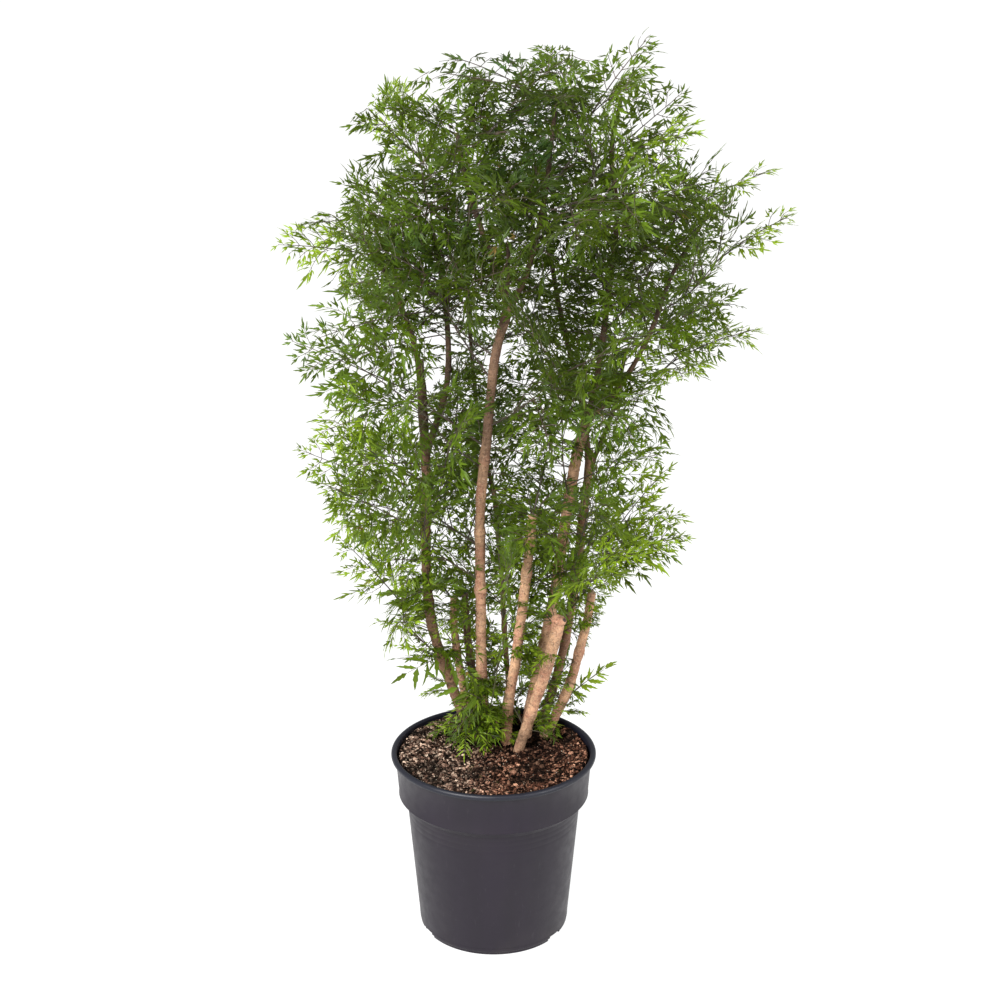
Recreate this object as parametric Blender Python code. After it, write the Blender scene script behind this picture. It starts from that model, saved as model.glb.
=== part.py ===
"""Ming aralia in a nursery pot: 1.4 m of fine, divided leaves on ten woody canes.

The pieces are the pot, the soil in it, the canes, which stand in plain holes in the
soil, and the leafy sprays. A spray is one shoot: a twig with its compound leaves fused
on, each leaf a thin arched blade cut to its rib into pointed leaflets. Sprays are placed
by a seeded rule that keeps every leaf clear of its neighbours.

Sizes are in metres and +Z is up. The origin is the middle of the pot's underside, and
the front view looks along +Y.
"""

import math
import random
from collections import namedtuple

import bmesh
import bpy
from mathutils import Vector
from mathutils.bvhtree import BVHTree
from mathutils.noise import noise

UP = Vector((0.0, 0.0, 1.0))

# Pot
POT_SIDES = 30
POT_HEIGHT = 0.300
RIM_RADIUS = 0.160
FOOT_RADIUS = 0.113
BODY_BOTTOM_RADIUS = 0.1168
BODY_TOP_RADIUS = 0.1325
BODY_TOP = 0.184
COLLAR_BOTTOM = 0.221
COLLAR_BOTTOM_RADIUS = 0.1468
COLLAR_TOP = 0.289
COLLAR_TOP_RADIUS = 0.1512
POT_WALL = 0.0022
FOOT_HEIGHT = 0.0055
FLOOR_THICKNESS = 0.003
PAD_RADIUS = 0.030
DRAIN_HOLES = 6
DRAIN_RADIUS = 0.005
DRAIN_CIRCLE = 0.075
# Foot notches: middle and width in degrees, from the front towards +X
FOOT_NOTCHES = ((-69.5, 13.0), (63.0, 18.0), (177.0, 15.0))

# Soil
SOIL_TOP = 0.2795
SOIL_RELIEF = 0.005
SOIL_RINGS = 5
CLEARANCE = 0.0004

# Canes
CANE_SIDES = 6
LIMB_SIDES = 5
CANE_FOOT = 0.212
CANE_STEP = 0.062
LIMB_STEP = 0.075

# Each cane: radius at the soil, radius at the top, and the middle line from the soil up
CANES = {
    "cane_far_left": (0.0075, 0.0062, (
        (-0.038, 0.105, 0.280), (-0.068, 0.106, 0.363), (-0.098, 0.108, 0.467),
        (-0.106, 0.110, 0.576), (-0.104, 0.110, 0.700), (-0.109, 0.106, 0.848),
        (-0.112, 0.104, 0.900))),
    "cane_left_light": (0.0062, 0.0055, (
        (-0.029, 0.088, 0.280), (-0.047, 0.088, 0.358), (-0.061, 0.089, 0.456),
        (-0.063, 0.090, 0.520))),
    "cane_left_dark": (0.0065, 0.0056, (
        (-0.019, 0.112, 0.280), (-0.032, 0.115, 0.365), (-0.042, 0.121, 0.440),
        (-0.046, 0.127, 0.510))),
    "cane_middle": (0.0088, 0.0068, (
        (-0.012, 0.075, 0.280), (-0.019, 0.070, 0.400), (-0.020, 0.062, 0.526),
        (-0.020, 0.052, 0.678), (-0.008, 0.043, 0.817), (0.003, 0.036, 0.926),
        (0.025, 0.030, 1.008))),
    "cane_front_light": (0.0080, 0.0066, (
        (0.020, 0.069, 0.280), (0.023, 0.065, 0.354), (0.034, 0.060, 0.434),
        (0.046, 0.053, 0.546), (0.060, 0.045, 0.672))),
    "cane_front_knob": (0.0078, 0.0098, (
        (0.040, 0.041, 0.280), (0.065, 0.027, 0.371), (0.077, 0.019, 0.426),
        (0.093, 0.009, 0.498), (0.098, 0.004, 0.524))),
    "cane_right_tall": (0.0095, 0.0075, (
        (0.050, 0.084, 0.280), (0.075, 0.089, 0.395), (0.098, 0.093, 0.513),
        (0.112, 0.099, 0.645), (0.127, 0.103, 0.742), (0.143, 0.106, 0.810))),
    "cane_right_back": (0.0074, 0.0066, (
        (0.075, 0.113, 0.280), (0.105, 0.121, 0.388), (0.125, 0.132, 0.497),
        (0.146, 0.150, 0.683), (0.150, 0.156, 0.740))),
    "cane_right_short": (0.0074, 0.0068, (
        (0.086, 0.084, 0.280), (0.115, 0.086, 0.361), (0.141, 0.089, 0.464),
        (0.154, 0.090, 0.526))),
    "cane_back_thin": (0.0042, 0.0036, (
        (0.029, 0.120, 0.280), (0.018, 0.130, 0.429), (0.012, 0.138, 0.540),
        (0.000, 0.150, 0.680))),
}

# Limbs: the cane they grow from, radius at the root, radius at the end, middle line
LIMBS = (
    ("cane_far_left", 0.0055, 0.0034, (
        (-0.105, 0.109, 0.750), (-0.083, 0.099, 0.815), (-0.068, 0.088, 0.890),
        (-0.072, 0.080, 1.000), (-0.090, 0.078, 1.110))),
    ("cane_far_left", 0.0046, 0.0030, (
        (-0.111, 0.104, 0.885), (-0.130, 0.110, 0.960), (-0.165, 0.108, 1.040),
        (-0.196, 0.092, 1.100))),
    ("cane_middle", 0.0050, 0.0030, (
        (0.023, 0.031, 0.995), (0.000, 0.034, 1.070), (-0.035, 0.040, 1.170),
        (-0.052, 0.045, 1.255))),
    ("cane_middle", 0.0048, 0.0028, (
        (0.018, 0.032, 0.985), (0.050, 0.020, 1.060), (0.072, 0.010, 1.160),
        (0.088, 0.014, 1.290))),
    ("cane_middle", 0.0040, 0.0028, (
        (0.012, 0.034, 0.968), (0.020, -0.020, 1.040), (0.022, -0.070, 1.120))),
    ("cane_right_tall", 0.0052, 0.0030, (
        (0.140, 0.106, 0.795), (0.158, 0.100, 0.880), (0.170, 0.092, 0.990),
        (0.182, 0.086, 1.120), (0.172, 0.082, 1.220), (0.184, 0.076, 1.300))),
    ("cane_right_tall", 0.0044, 0.0028, (
        (0.141, 0.105, 0.800), (0.190, 0.080, 0.865), (0.232, 0.066, 0.950),
        (0.262, 0.062, 1.040), (0.302, 0.060, 1.115))),
    ("cane_right_back", 0.0048, 0.0028, (
        (0.149, 0.155, 0.725), (0.136, 0.172, 0.820), (0.104, 0.182, 0.950),
        (0.082, 0.180, 1.080), (0.070, 0.172, 1.190))),
    ("cane_right_back", 0.0040, 0.0028, (
        (0.148, 0.153, 0.705), (0.186, 0.190, 0.790), (0.208, 0.214, 0.890))),
    ("cane_back_thin", 0.0034, 0.0026, (
        (0.004, 0.147, 0.650), (-0.022, 0.172, 0.780), (-0.035, 0.190, 0.900),
        (-0.040, 0.186, 1.020), (-0.036, 0.170, 1.130))),
)

# Crown outline: height, reach to the left and reach to the right of the pot's middle
CROWN_OUTLINE = (
    (0.300, 0.110, 0.155), (0.370, 0.115, 0.160), (0.435, 0.160, 0.180),
    (0.500, 0.185, 0.170), (0.570, 0.210, 0.205), (0.650, 0.245, 0.296),
    (0.700, 0.250, 0.285), (0.760, 0.290, 0.281), (0.830, 0.280, 0.250),
    (0.885, 0.265, 0.285), (0.950, 0.297, 0.400), (1.006, 0.275, 0.375),
    (1.065, 0.260, 0.340), (1.100, 0.312, 0.372), (1.150, 0.268, 0.451),
    (1.200, 0.195, 0.425), (1.240, 0.180, 0.350), (1.295, 0.200, 0.282),
    (1.340, 0.207, 0.270), (1.378, 0.100, 0.268), (1.405, 0.000, 0.245),
)
# The outline is read on the plane y = 0, as an eye at this point in front sees it
VIEW_POINT = Vector((0.010, -3.000, 1.783))
CROWN_MIDDLE_Y = 0.070
CROWN_DEPTH = 0.86
CROWN_SQUARENESS = 2.6
CROWN_SLACK = 0.012

# Sprays that end in the crown's outermost tips: tip, as x, depth and height in the
# front view, and leaf length
OUTER_TIPS = (
    ((0.442, 0.060, 1.152), 0.150), ((0.396, 0.030, 1.208), 0.160),
    ((0.335, -0.020, 1.180), 0.180), ((0.385, 0.040, 0.975), 0.170),
    ((0.338, 0.000, 1.020), 0.190),
    ((-0.312, 0.080, 1.102), 0.180), ((-0.225, 0.000, 1.195), 0.180),
    ((-0.200, 0.060, 1.318), 0.170), ((-0.120, 0.030, 1.350), 0.180),
    ((-0.110, -0.060, 1.270), 0.200), ((0.130, -0.060, 1.290), 0.200),
    ((0.222, 0.040, 1.400), 0.150), ((0.268, 0.050, 1.320), 0.170),
    ((0.150, 0.030, 1.395), 0.150), ((0.080, 0.040, 1.378), 0.160),
    ((0.000, 0.050, 1.365), 0.170), ((0.275, -0.030, 1.242), 0.190),
    ((-0.296, 0.070, 0.961), 0.190), ((-0.288, 0.060, 0.792), 0.180),
    ((-0.262, -0.020, 0.740), 0.180), ((-0.230, 0.070, 0.650), 0.150),
    ((0.290, 0.070, 0.652), 0.180), ((0.262, 0.080, 0.762), 0.190),
    ((0.178, 0.080, 0.432), 0.110), ((-0.070, 0.010, 0.318), 0.095),
    ((0.085, -0.120, 0.900), 0.190),
)

# Rings of sprays: tip height, count, first direction in degrees, share of the outline,
# and leaf length. Directions turn from +X towards the back.
SPRAY_RINGS = (
    (0.510, 2, 105.0, 0.90, 0.150),
    (0.610, 3, 30.0, 0.92, 0.175),
    (0.720, 3, 65.0, 0.92, 0.200),
    (0.840, 3, 25.0, 0.92, 0.205),
    (0.960, 3, 70.0, 0.92, 0.210),
    (1.070, 3, 30.0, 0.92, 0.210),
    (1.180, 3, 70.0, 0.90, 0.205),
    (1.280, 2, 60.0, 0.85, 0.195),
)

# Sprays
SEED = 24
TWIG_SIDES = 4
TWIG_ROOT_RADIUS = 0.0024
TWIG_TIP_RADIUS = 0.0018
TWIG_STEPS = 2
TWIG_KNEE = 0.009
TWIG_RISE = 0.16
TWIG_BOW = 0.10
TWIG_SPREAD = 0.020
TWIG_ROOM_RADIUS = 0.0035
SEAT_LEVEL = 0.35
SEAT_RAY = 0.05
SEAT_REACH = 0.014
END_LEAF_ROOT = 0.003
SEATS_TRIED = 60
SEAT_GAP = 0.00035
LOWEST_SEAT = 0.312
# Side leaves: distance from the twig's end, and side
SIDE_LEAVES = ((0.006, 1), (0.034, -1), (0.075, 1), (0.125, -1), (0.170, 1))
TWIG_BARE_ROOT = 0.030
SPRAY_REACH = 1.75
LEAFLET_PAIRS = 4
SMALL_LEAF = 0.175
BLADE_THICKNESS = 0.0011
RIB_HALF_WIDTH = 0.0010
PETIOLE_SHARE = 0.22
PAIRED_SHARE = 0.82
LEAF_ASPECT = 0.94
LEAF_ARCH = 0.16
LEAFLET_SWEEP = 0.40
END_SWEEP = 0.70
LEAFLET_DROOP = 0.16
LEAF_STRAY = 0.60
LEAF_OUTWARD = 2.4
FRONT_LEAN = Vector((0.0, -0.60, 0.0))
TEST_THICKNESS = 0.0032
TRIES = 90

# Canes that stay in view from the front, with the stretch that leaves keep clear of
OPEN_STRETCHES = (
    ("cane_middle", 0.370, 0.985), ("cane_front_light", 0.300, 0.520),
    ("cane_front_knob", 0.290, 0.524), ("cane_right_short", 0.330, 0.526),
    ("cane_far_left", 0.420, 0.500),
)
VIEW_LENGTH = 0.45

Leaf = namedtuple("Leaf", "root direction normal length")
Spray = namedtuple("Spray", "twig leaves")


def smooth_path(points, step):
    """Points about one step apart on a smooth curve through the given ones."""
    points = [Vector(p) for p in points]
    ends = [points[0] * 2 - points[1]] + points + [points[-1] * 2 - points[-2]]
    path = [points[0]]
    for a, b, c, d in zip(ends, ends[1:], ends[2:], ends[3:]):
        count = max(1, round((c - b).length / step))
        for i in range(1, count + 1):
            t = i / count
            path.append(0.5 * (2 * b + (c - a) * t + (2 * a - 5 * b + 4 * c - d) * t * t
                               + (3 * b - a - 3 * c + d) * t ** 3))
    return path


def tube(path, radii, sides):
    """Vertices and faces of a closed round bar along a path."""
    verts, faces = [], []
    side = UP.cross(path[1] - path[0])
    if side.length < 1e-6:
        side = Vector((1.0, 0.0, 0.0))
    for i, centre in enumerate(path):
        tangent = (path[min(i + 1, len(path) - 1)] - path[max(i - 1, 0)]).normalized()
        side = (side - tangent * side.dot(tangent)).normalized()
        lift = tangent.cross(side)
        for k in range(sides):
            turn = 2 * math.pi * k / sides
            verts.append(centre + radii[i] * (side * math.cos(turn) + lift * math.sin(turn)))
    for i in range(len(path) - 1):
        for k in range(sides):
            a, b = i * sides + k, i * sides + (k + 1) % sides
            faces.append((a, b, b + sides, a + sides))
    faces.append(tuple(reversed(range(sides))))
    faces.append(tuple(range(len(verts) - sides, len(verts))))
    return verts, faces


def make_object(name, verts, faces, material=None, smooth_angle=None):
    """Object with a closed mesh whose faces point outwards."""
    mesh = bpy.data.meshes.new(name)
    mesh.from_pydata([tuple(v) for v in verts], [], faces)
    bm = bmesh.new()
    bm.from_mesh(mesh)
    bmesh.ops.recalc_face_normals(bm, faces=bm.faces)
    bm.to_mesh(mesh)
    bm.free()
    if smooth_angle is not None:
        mesh.shade_smooth()
        mesh.set_sharp_from_angle(angle=math.radians(smooth_angle))
    if material:
        mesh.materials.append(material)
    obj = bpy.data.objects.new(name, mesh)
    bpy.context.scene.collection.objects.link(obj)
    return obj


def make_material(name, colour, roughness):
    """Principled material with the piece's colour and roughness."""
    material = bpy.data.materials.new(name)
    material.use_nodes = True
    shader = material.node_tree.nodes["Principled BSDF"]
    shader.inputs["Base Color"].default_value = (*colour, 1.0)
    shader.inputs["Roughness"].default_value = roughness
    return material


def combine(target, tools, operation, solver="EXACT"):
    """Join the tools to the target, or cut them out of it, and remove the tools."""
    group = bpy.data.collections.new("tools")
    for tool in tools:
        group.objects.link(tool)
    modifier = target.modifiers.new(operation.lower(), "BOOLEAN")
    modifier.operation = operation
    modifier.operand_type = "COLLECTION"
    modifier.collection = group
    modifier.solver = solver
    depsgraph = bpy.context.evaluated_depsgraph_get()
    mesh = bpy.data.meshes.new_from_object(target.evaluated_get(depsgraph))
    target.modifiers.clear()
    old_mesh = target.data
    target.data = mesh
    bpy.data.meshes.remove(old_mesh)
    mesh.name = target.name
    for tool in tools:
        bpy.data.objects.remove(tool)
    bpy.data.collections.remove(group)


def surface_tree(obj):
    """Search tree of an object's triangles, for rays and crossings."""
    verts = [v.co.copy() for v in obj.data.vertices]
    return BVHTree.FromPolygons(verts, [tuple(p.vertices) for p in obj.data.polygons])


def turned_solid(profile, sides):
    """Vertices and faces of a solid turned round Z; the profile starts and ends on it."""
    verts = [Vector((0.0, 0.0, profile[0][1]))]
    for radius, height in profile[1:-1]:
        for k in range(sides):
            turn = 2 * math.pi * k / sides
            verts.append(Vector((radius * math.cos(turn), radius * math.sin(turn), height)))
    verts.append(Vector((0.0, 0.0, profile[-1][1])))
    faces = []
    rings = len(profile) - 2
    for k in range(sides):
        after = (k + 1) % sides
        faces.append((0, 1 + after, 1 + k))
        for ring in range(rings - 1):
            low, high = 1 + ring * sides, 1 + (ring + 1) * sides
            faces.append((low + k, low + after, high + after, high + k))
        last = 1 + (rings - 1) * sides
        faces.append((last + k, last + after, len(verts) - 1))
    return verts, faces


def wall_inner_radius(height):
    """Inner radius of the pot's wall at a height."""
    stops = (
        (FOOT_HEIGHT, BODY_BOTTOM_RADIUS), (BODY_TOP, BODY_TOP_RADIUS),
        (COLLAR_BOTTOM, COLLAR_BOTTOM_RADIUS), (COLLAR_TOP, COLLAR_TOP_RADIUS))
    for (low, low_radius), (high, high_radius) in zip(stops, stops[1:]):
        if height <= high or high == COLLAR_TOP:
            share = (height - low) / (high - low)
            return low_radius + share * (high_radius - low_radius) - POT_WALL


def build_pot(material):
    """Tapered pot with a collar, rolled rim, notched foot and drain holes."""
    floor_top = FOOT_HEIGHT + FLOOR_THICKNESS
    profile = (
        (0.0, 0.0), (PAD_RADIUS, 0.0), (PAD_RADIUS + 0.003, FOOT_HEIGHT),
        (FOOT_RADIUS - 0.007, FOOT_HEIGHT), (FOOT_RADIUS - 0.005, 0.0),
        (FOOT_RADIUS, 0.0), (FOOT_RADIUS + 0.0005, FOOT_HEIGHT),
        (BODY_BOTTOM_RADIUS, FOOT_HEIGHT + 0.002), (BODY_TOP_RADIUS, BODY_TOP),
        (COLLAR_BOTTOM_RADIUS, COLLAR_BOTTOM), (COLLAR_TOP_RADIUS, COLLAR_TOP),
        (RIM_RADIUS - 0.003, POT_HEIGHT - 0.0085), (RIM_RADIUS, POT_HEIGHT - 0.0045),
        (RIM_RADIUS - 0.0025, POT_HEIGHT), (RIM_RADIUS - 0.0070, POT_HEIGHT - 0.0006),
        (wall_inner_radius(COLLAR_TOP), COLLAR_TOP),
        (wall_inner_radius(COLLAR_BOTTOM), COLLAR_BOTTOM),
        (wall_inner_radius(BODY_TOP), BODY_TOP),
        (wall_inner_radius(floor_top), floor_top), (0.0, floor_top))
    pot = make_object("pot", *turned_solid(profile, POT_SIDES), material, 30)
    cutters = []
    for middle, width in FOOT_NOTCHES:
        cutters.append(make_notch_cutter(math.radians(middle), math.radians(width)))
    for k in range(DRAIN_HOLES):
        turn = 2 * math.pi * (k + 0.5) / DRAIN_HOLES
        centre = Vector((DRAIN_CIRCLE * math.cos(turn), DRAIN_CIRCLE * math.sin(turn), 0.0))
        path = [centre, centre + UP * 0.02]
        cutters.append(make_object("drain", *tube(path, [DRAIN_RADIUS] * 2, 8)))
    combine(pot, cutters, "DIFFERENCE")
    return pot


def make_notch_cutter(middle, width):
    """Block that cuts one notch through the foot ring."""
    verts = []
    for height in (-0.010, FOOT_HEIGHT - 0.0008):
        for radius in (FOOT_RADIUS - 0.012, FOOT_RADIUS + 0.006):
            for turn in (middle - width / 2, middle + width / 2):
                verts.append(Vector((radius * math.sin(turn), -radius * math.cos(turn), height)))
    faces = [(0, 1, 3, 2), (4, 6, 7, 5), (0, 4, 5, 1), (2, 3, 7, 6), (0, 2, 6, 4), (1, 5, 7, 3)]
    return make_object("notch", verts, faces)


def cane_path(name):
    """Stations of a cane from its foot in the soil to its top."""
    points = [Vector(p) for p in CANES[name][2]]
    lean = (points[1] - points[0]).normalized()
    lean = (lean + UP).normalized()
    foot = points[0] + lean * ((CANE_FOOT - points[0].z) / lean.z)
    return smooth_path([foot] + points, CANE_STEP)


def cane_radii(name, path):
    """Radius at each station of a cane, an even taper from the soil to the top."""
    low, high = CANES[name][0], CANES[name][1]
    return [low + (high - low) * i / (len(path) - 1) for i in range(len(path))]


def build_canes(material):
    """All canes, each fused with its own limbs."""
    canes = {}
    for name in CANES:
        path = cane_path(name)
        cane = make_object(name, *tube(path, cane_radii(name, path), CANE_SIDES), material, 60)
        limbs = []
        for parent, root_radius, end_radius, points in LIMBS:
            if parent == name:
                line = smooth_path(points, LIMB_STEP)
                radii = [root_radius + (end_radius - root_radius) * i / (len(line) - 1)
                         for i in range(len(line))]
                limbs.append(make_object("limb", *tube(line, radii, LIMB_SIDES)))
        if limbs:
            combine(cane, limbs, "UNION")
        canes[name] = cane
    return canes


def soil_relief(x, y):
    """Height of the lumpy soil surface above its mean level."""
    coarse = noise(Vector((x, y, 0.3)) * 22.0)
    fine = noise(Vector((x, y, 1.7)) * 60.0)
    return SOIL_RELIEF * (coarse + 0.6 * fine)


def build_soil(material):
    """Soil that fills the pot, with a plain hole round each cane."""
    floor = FOOT_HEIGHT + FLOOR_THICKNESS + CLEARANCE
    profile = [(0.0, floor)]
    for height in (floor, BODY_TOP, COLLAR_BOTTOM):
        profile.append((wall_inner_radius(height) - CLEARANCE, height))
    edge = wall_inner_radius(SOIL_TOP) - 3 * CLEARANCE
    for ring in range(SOIL_RINGS):
        profile.append((edge * (1 - ring / SOIL_RINGS), SOIL_TOP))
    profile.append((0.0, SOIL_TOP))
    verts, faces = turned_solid(profile, POT_SIDES)
    for vert in verts:
        if vert.z == SOIL_TOP:
            vert.z += soil_relief(vert.x, vert.y)
    soil = make_object("soil", verts, faces, material, 50)
    holes = []
    for name in CANES:
        path = cane_path(name)
        below = [p for p in path if p.z < SOIL_TOP + 0.030]
        radii = [r + CLEARANCE * 1.3 for r in cane_radii(name, path)][:len(below) + 1]
        line = [below[0] - (below[1] - below[0]).normalized() * CLEARANCE]
        line += path[1:len(below) + 1]
        holes.append(make_object("hole", *tube(line, radii, CANE_SIDES)))
    combine(soil, holes, "DIFFERENCE")
    return soil


def crown_reach(height):
    """Reach of the crown to the left and to the right at a height."""
    rows = CROWN_OUTLINE
    if height <= rows[0][0]:
        return rows[0][1:]
    for (low, left, right), (high, next_left, next_right) in zip(rows, rows[1:]):
        if height <= high:
            share = (height - low) / (high - low)
            return left + share * (next_left - left), right + share * (next_right - right)
    return rows[-1][1:]


def from_front(x, y, height):
    """Point at depth y that the front view shows at x and height on the plane y = 0."""
    ray = Vector((x, 0.0, height)) - VIEW_POINT
    return VIEW_POINT + ray * ((y - VIEW_POINT.y) / ray.y)


def in_front_view(point):
    """Where on the plane y = 0 the front view shows a point."""
    ray = point - VIEW_POINT
    return VIEW_POINT - ray * (VIEW_POINT.y / ray.y)


def crown_point(height, direction, share):
    """Point in a direction at a share of the way from the crown's middle to its outline."""
    left, right = crown_reach(height)
    half = (left + right) / 2
    cosine, sine = math.cos(direction), math.sin(direction)
    power = CROWN_SQUARENESS
    depth = half * CROWN_DEPTH
    reach = (abs(cosine / half) ** power + abs(sine / depth) ** power) ** (-1 / power)
    return from_front((right - left) / 2 + share * reach * cosine,
                      CROWN_MIDDLE_Y + share * reach * sine, height)


def in_crown(point):
    """True where a point lies inside the crown's outline."""
    seen = in_front_view(point)
    if seen.z > CROWN_OUTLINE[-1][0]:
        return False
    left, right = crown_reach(seen.z)
    half = (left + right) / 2 + CROWN_SLACK
    across = abs(seen.x - (right - left) / 2) / half
    along = abs(point.y - CROWN_MIDDLE_Y) / (half * CROWN_DEPTH)
    return across ** CROWN_SQUARENESS + along ** CROWN_SQUARENESS <= 1.0


def leaf_outline(t):
    """Half width of a leaf, as a share of its widest, from its first leaflets to its tip."""
    if t < 0.2:
        return 0.84 + 0.8 * t
    return 1.0 - 0.74 * ((t - 0.2) / 0.8) ** 1.25


def rib_point(leaf, s):
    """Point on a leaf's arched rib, from its root at 0 to its tip at 1."""
    drop = LEAF_ARCH * leaf.length * s * s
    return leaf.root + leaf.direction * leaf.length * s - leaf.normal * drop


def leaflet_pairs(leaf):
    """Number of pairs of leaflets, one fewer on a small leaf."""
    return LEAFLET_PAIRS - 1 if leaf.length < SMALL_LEAF else LEAFLET_PAIRS


def leaflet_tip(leaf, pair, side):
    """Tip of one of the pointed leaflets, side -1 or 1."""
    t = (pair + 0.5) / leaflet_pairs(leaf)
    share = 1 - PETIOLE_SHARE
    reach = leaf.length * share * LEAF_ASPECT / 2 * leaf_outline(t)
    across = leaf.direction.cross(leaf.normal)
    middle = rib_point(leaf, PETIOLE_SHARE + share * t * PAIRED_SHARE)
    sweep = LEAFLET_SWEEP + END_SWEEP * t * t
    return (middle + across * side * reach + leaf.direction * sweep * reach
            - leaf.normal * LEAFLET_DROOP * reach)


def leaf_mesh(leaf, thickness=BLADE_THICKNESS, blade_only=False):
    """Vertices and faces of a leaf: an arched blade cut to its rib into leaflets."""
    half = leaf.normal * thickness / 2
    across = leaf.direction.cross(leaf.normal) * (RIB_HALF_WIDTH * thickness / BLADE_THICKNESS)
    blade = 1 - PETIOLE_SHARE
    pairs = leaflet_pairs(leaf)
    shares = [] if blade_only else [0.0]
    shares += [PETIOLE_SHARE + blade * PAIRED_SHARE * k / pairs for k in range(pairs + 1)]
    verts, faces = [], []
    for share in shares:
        middle = rib_point(leaf, share)
        width = across * (1 - 0.35 * share)
        verts += [middle - width + half, middle + width + half,
                  middle + width - half, middle - width - half]
    faces.append((0, 1, 2, 3))
    first = 0 if blade_only else 1
    for i in range(len(shares) - 1):
        a, b = 4 * i, 4 * i + 4
        faces.append((a, a + 1, b + 1, b))
        faces.append((a + 3, b + 3, b + 2, a + 2))
        if i < first:
            faces.append((a + 1, a + 2, b + 2, b + 1))
            faces.append((a, b, b + 3, a + 3))
            continue
        for side, top, bottom in ((-1, 0, 3), (1, 1, 2)):
            tip = len(shares) * 4 + (i - first) * 2 + (side + 1) // 2
            faces.append((a + top, b + top, tip))
            faces.append((a + bottom, b + bottom, tip))
            faces.append((a + top, a + bottom, tip))
            faces.append((b + top, b + bottom, tip))
    for pair in range(pairs):
        verts += [leaflet_tip(leaf, pair, -1), leaflet_tip(leaf, pair, 1)]
    last = 4 * (len(shares) - 1)
    tip = len(verts)
    verts.append(rib_point(leaf, 1.0))
    for k in range(4):
        faces.append((last + k, last + (k + 1) % 4, tip))
    return verts, faces


class Room:
    """The space already taken, which new twigs and leaves keep clear of."""

    def __init__(self):
        self.taken = []

    def add(self, tree, verts):
        """Take up the room of a search tree with the given vertices."""
        low = [min(v[i] for v in verts) for i in range(3)]
        high = [max(v[i] for v in verts) for i in range(3)]
        self.taken.append((tree, low, high))

    def is_free(self, verts, faces, skip=None):
        """True where a mesh crosses nothing that was added, apart from one tree."""
        low = [min(v[i] for v in verts) for i in range(3)]
        high = [max(v[i] for v in verts) for i in range(3)]
        tree = None
        for other, other_low, other_high in self.taken:
            if other is skip:
                continue
            if any(low[i] > other_high[i] or high[i] < other_low[i] for i in range(3)):
                continue
            tree = tree or BVHTree.FromPolygons(verts, faces)
            if tree.overlap(other):
                return False
        return True


def view_screens(canes):
    """Strips from the open stretches of the canes towards the front."""
    for name, low, high in OPEN_STRETCHES:
        path = [p for p in smooth_path(CANES[name][2], 0.03) if low <= p.z <= high]
        for side in (-1, 0, 1):
            edge = [p + Vector((side * CANES[name][0], -0.012, 0.0)) for p in path]
            verts = edge + [p + (VIEW_POINT - p).normalized() * VIEW_LENGTH for p in edge]
            count = len(edge)
            faces = [(i, i + 1, i + 1 + count, i + count) for i in range(count - 1)]
            yield verts, faces


def twig_line(tree, axis_point, target, leaf_length):
    """Middle line of a twig seated on a cane and leading to its end leaf, or None."""
    out = target - axis_point
    out.z *= SEAT_LEVEL
    out.normalize()
    hit, facet, _, _ = tree.ray_cast(axis_point + out * SEAT_RAY, -out)
    if hit is None or (hit - axis_point).length > SEAT_REACH or facet.dot(out) < 0:
        return None
    start = hit + facet * SEAT_GAP
    chord = target - start
    end = start + chord * (1 - leaf_length / chord.length)
    end += UP * TWIG_RISE * (end - start).length
    knee = start + facet * TWIG_KNEE
    middle = (knee + end) / 2 + UP * TWIG_BOW * (end - knee).length + facet * TWIG_SPREAD
    line = [start, knee]
    for i in range(1, TWIG_STEPS + 1):
        t = i / TWIG_STEPS
        line.append(knee * (1 - t) ** 2 + middle * 2 * t * (1 - t) + end * t * t)
    return line


def leaf_from(root, direction, normal_hint, length):
    """Leaf that starts in a direction, with its face turned towards the hint."""
    direction = direction.normalized()
    normal = (normal_hint - direction * normal_hint.dot(direction)).normalized()
    return Leaf(root, direction, normal, length)


def face_hint(root, rng):
    """Way that a leaf's face is turned: up, out of the crown and a little to the front."""
    outward = Vector((root.x - 0.05, root.y - CROWN_MIDDLE_Y, 0.0))
    stray = Vector([rng.uniform(-LEAF_STRAY, LEAF_STRAY) for _ in range(3)])
    return UP + outward * LEAF_OUTWARD + FRONT_LEAN + stray


def end_leaf(line, target, length, rng, attempt):
    """Leaf that continues a twig and reaches its target."""
    root = line[-1] + (line[-2] - line[-1]).normalized() * END_LEAF_ROOT
    chord = target - root
    hint = face_hint(root, rng)
    normal = (hint - chord * hint.dot(chord) / chord.length_squared).normalized()
    direction = chord + normal * LEAF_ARCH * length
    return leaf_from(root, direction, normal, chord.length * (1 - 0.003 * attempt))


def place_on_twig(line, distance):
    """Point and direction on a twig at a distance from its end, or None past its root."""
    left = distance
    for a, b in zip(line[:0:-1], line[-2::-1]):
        step = (a - b).length
        if left < step:
            return a.lerp(b, left / step), (a - b).normalized()
        left -= step
    return None


def side_leaf(line, distance, side, length, rng, attempt):
    """Leaf that branches off a twig to one side."""
    root, along = place_on_twig(line, distance)
    flat = along.cross(UP).normalized() * side
    lift = flat.cross(along) * side
    spread = math.radians(rng.uniform(48, 78))
    turn = math.radians(rng.uniform(-30, 35) + rng.uniform(-1, 1) * attempt)
    out = flat * math.cos(turn) + lift * math.sin(turn)
    direction = along * math.cos(spread) + out * math.sin(spread)
    scale = rng.uniform(0.90, 1.08) * (1 - 0.0042 * attempt)
    return leaf_from(root, direction, face_hint(root, rng), length * scale)


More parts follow.
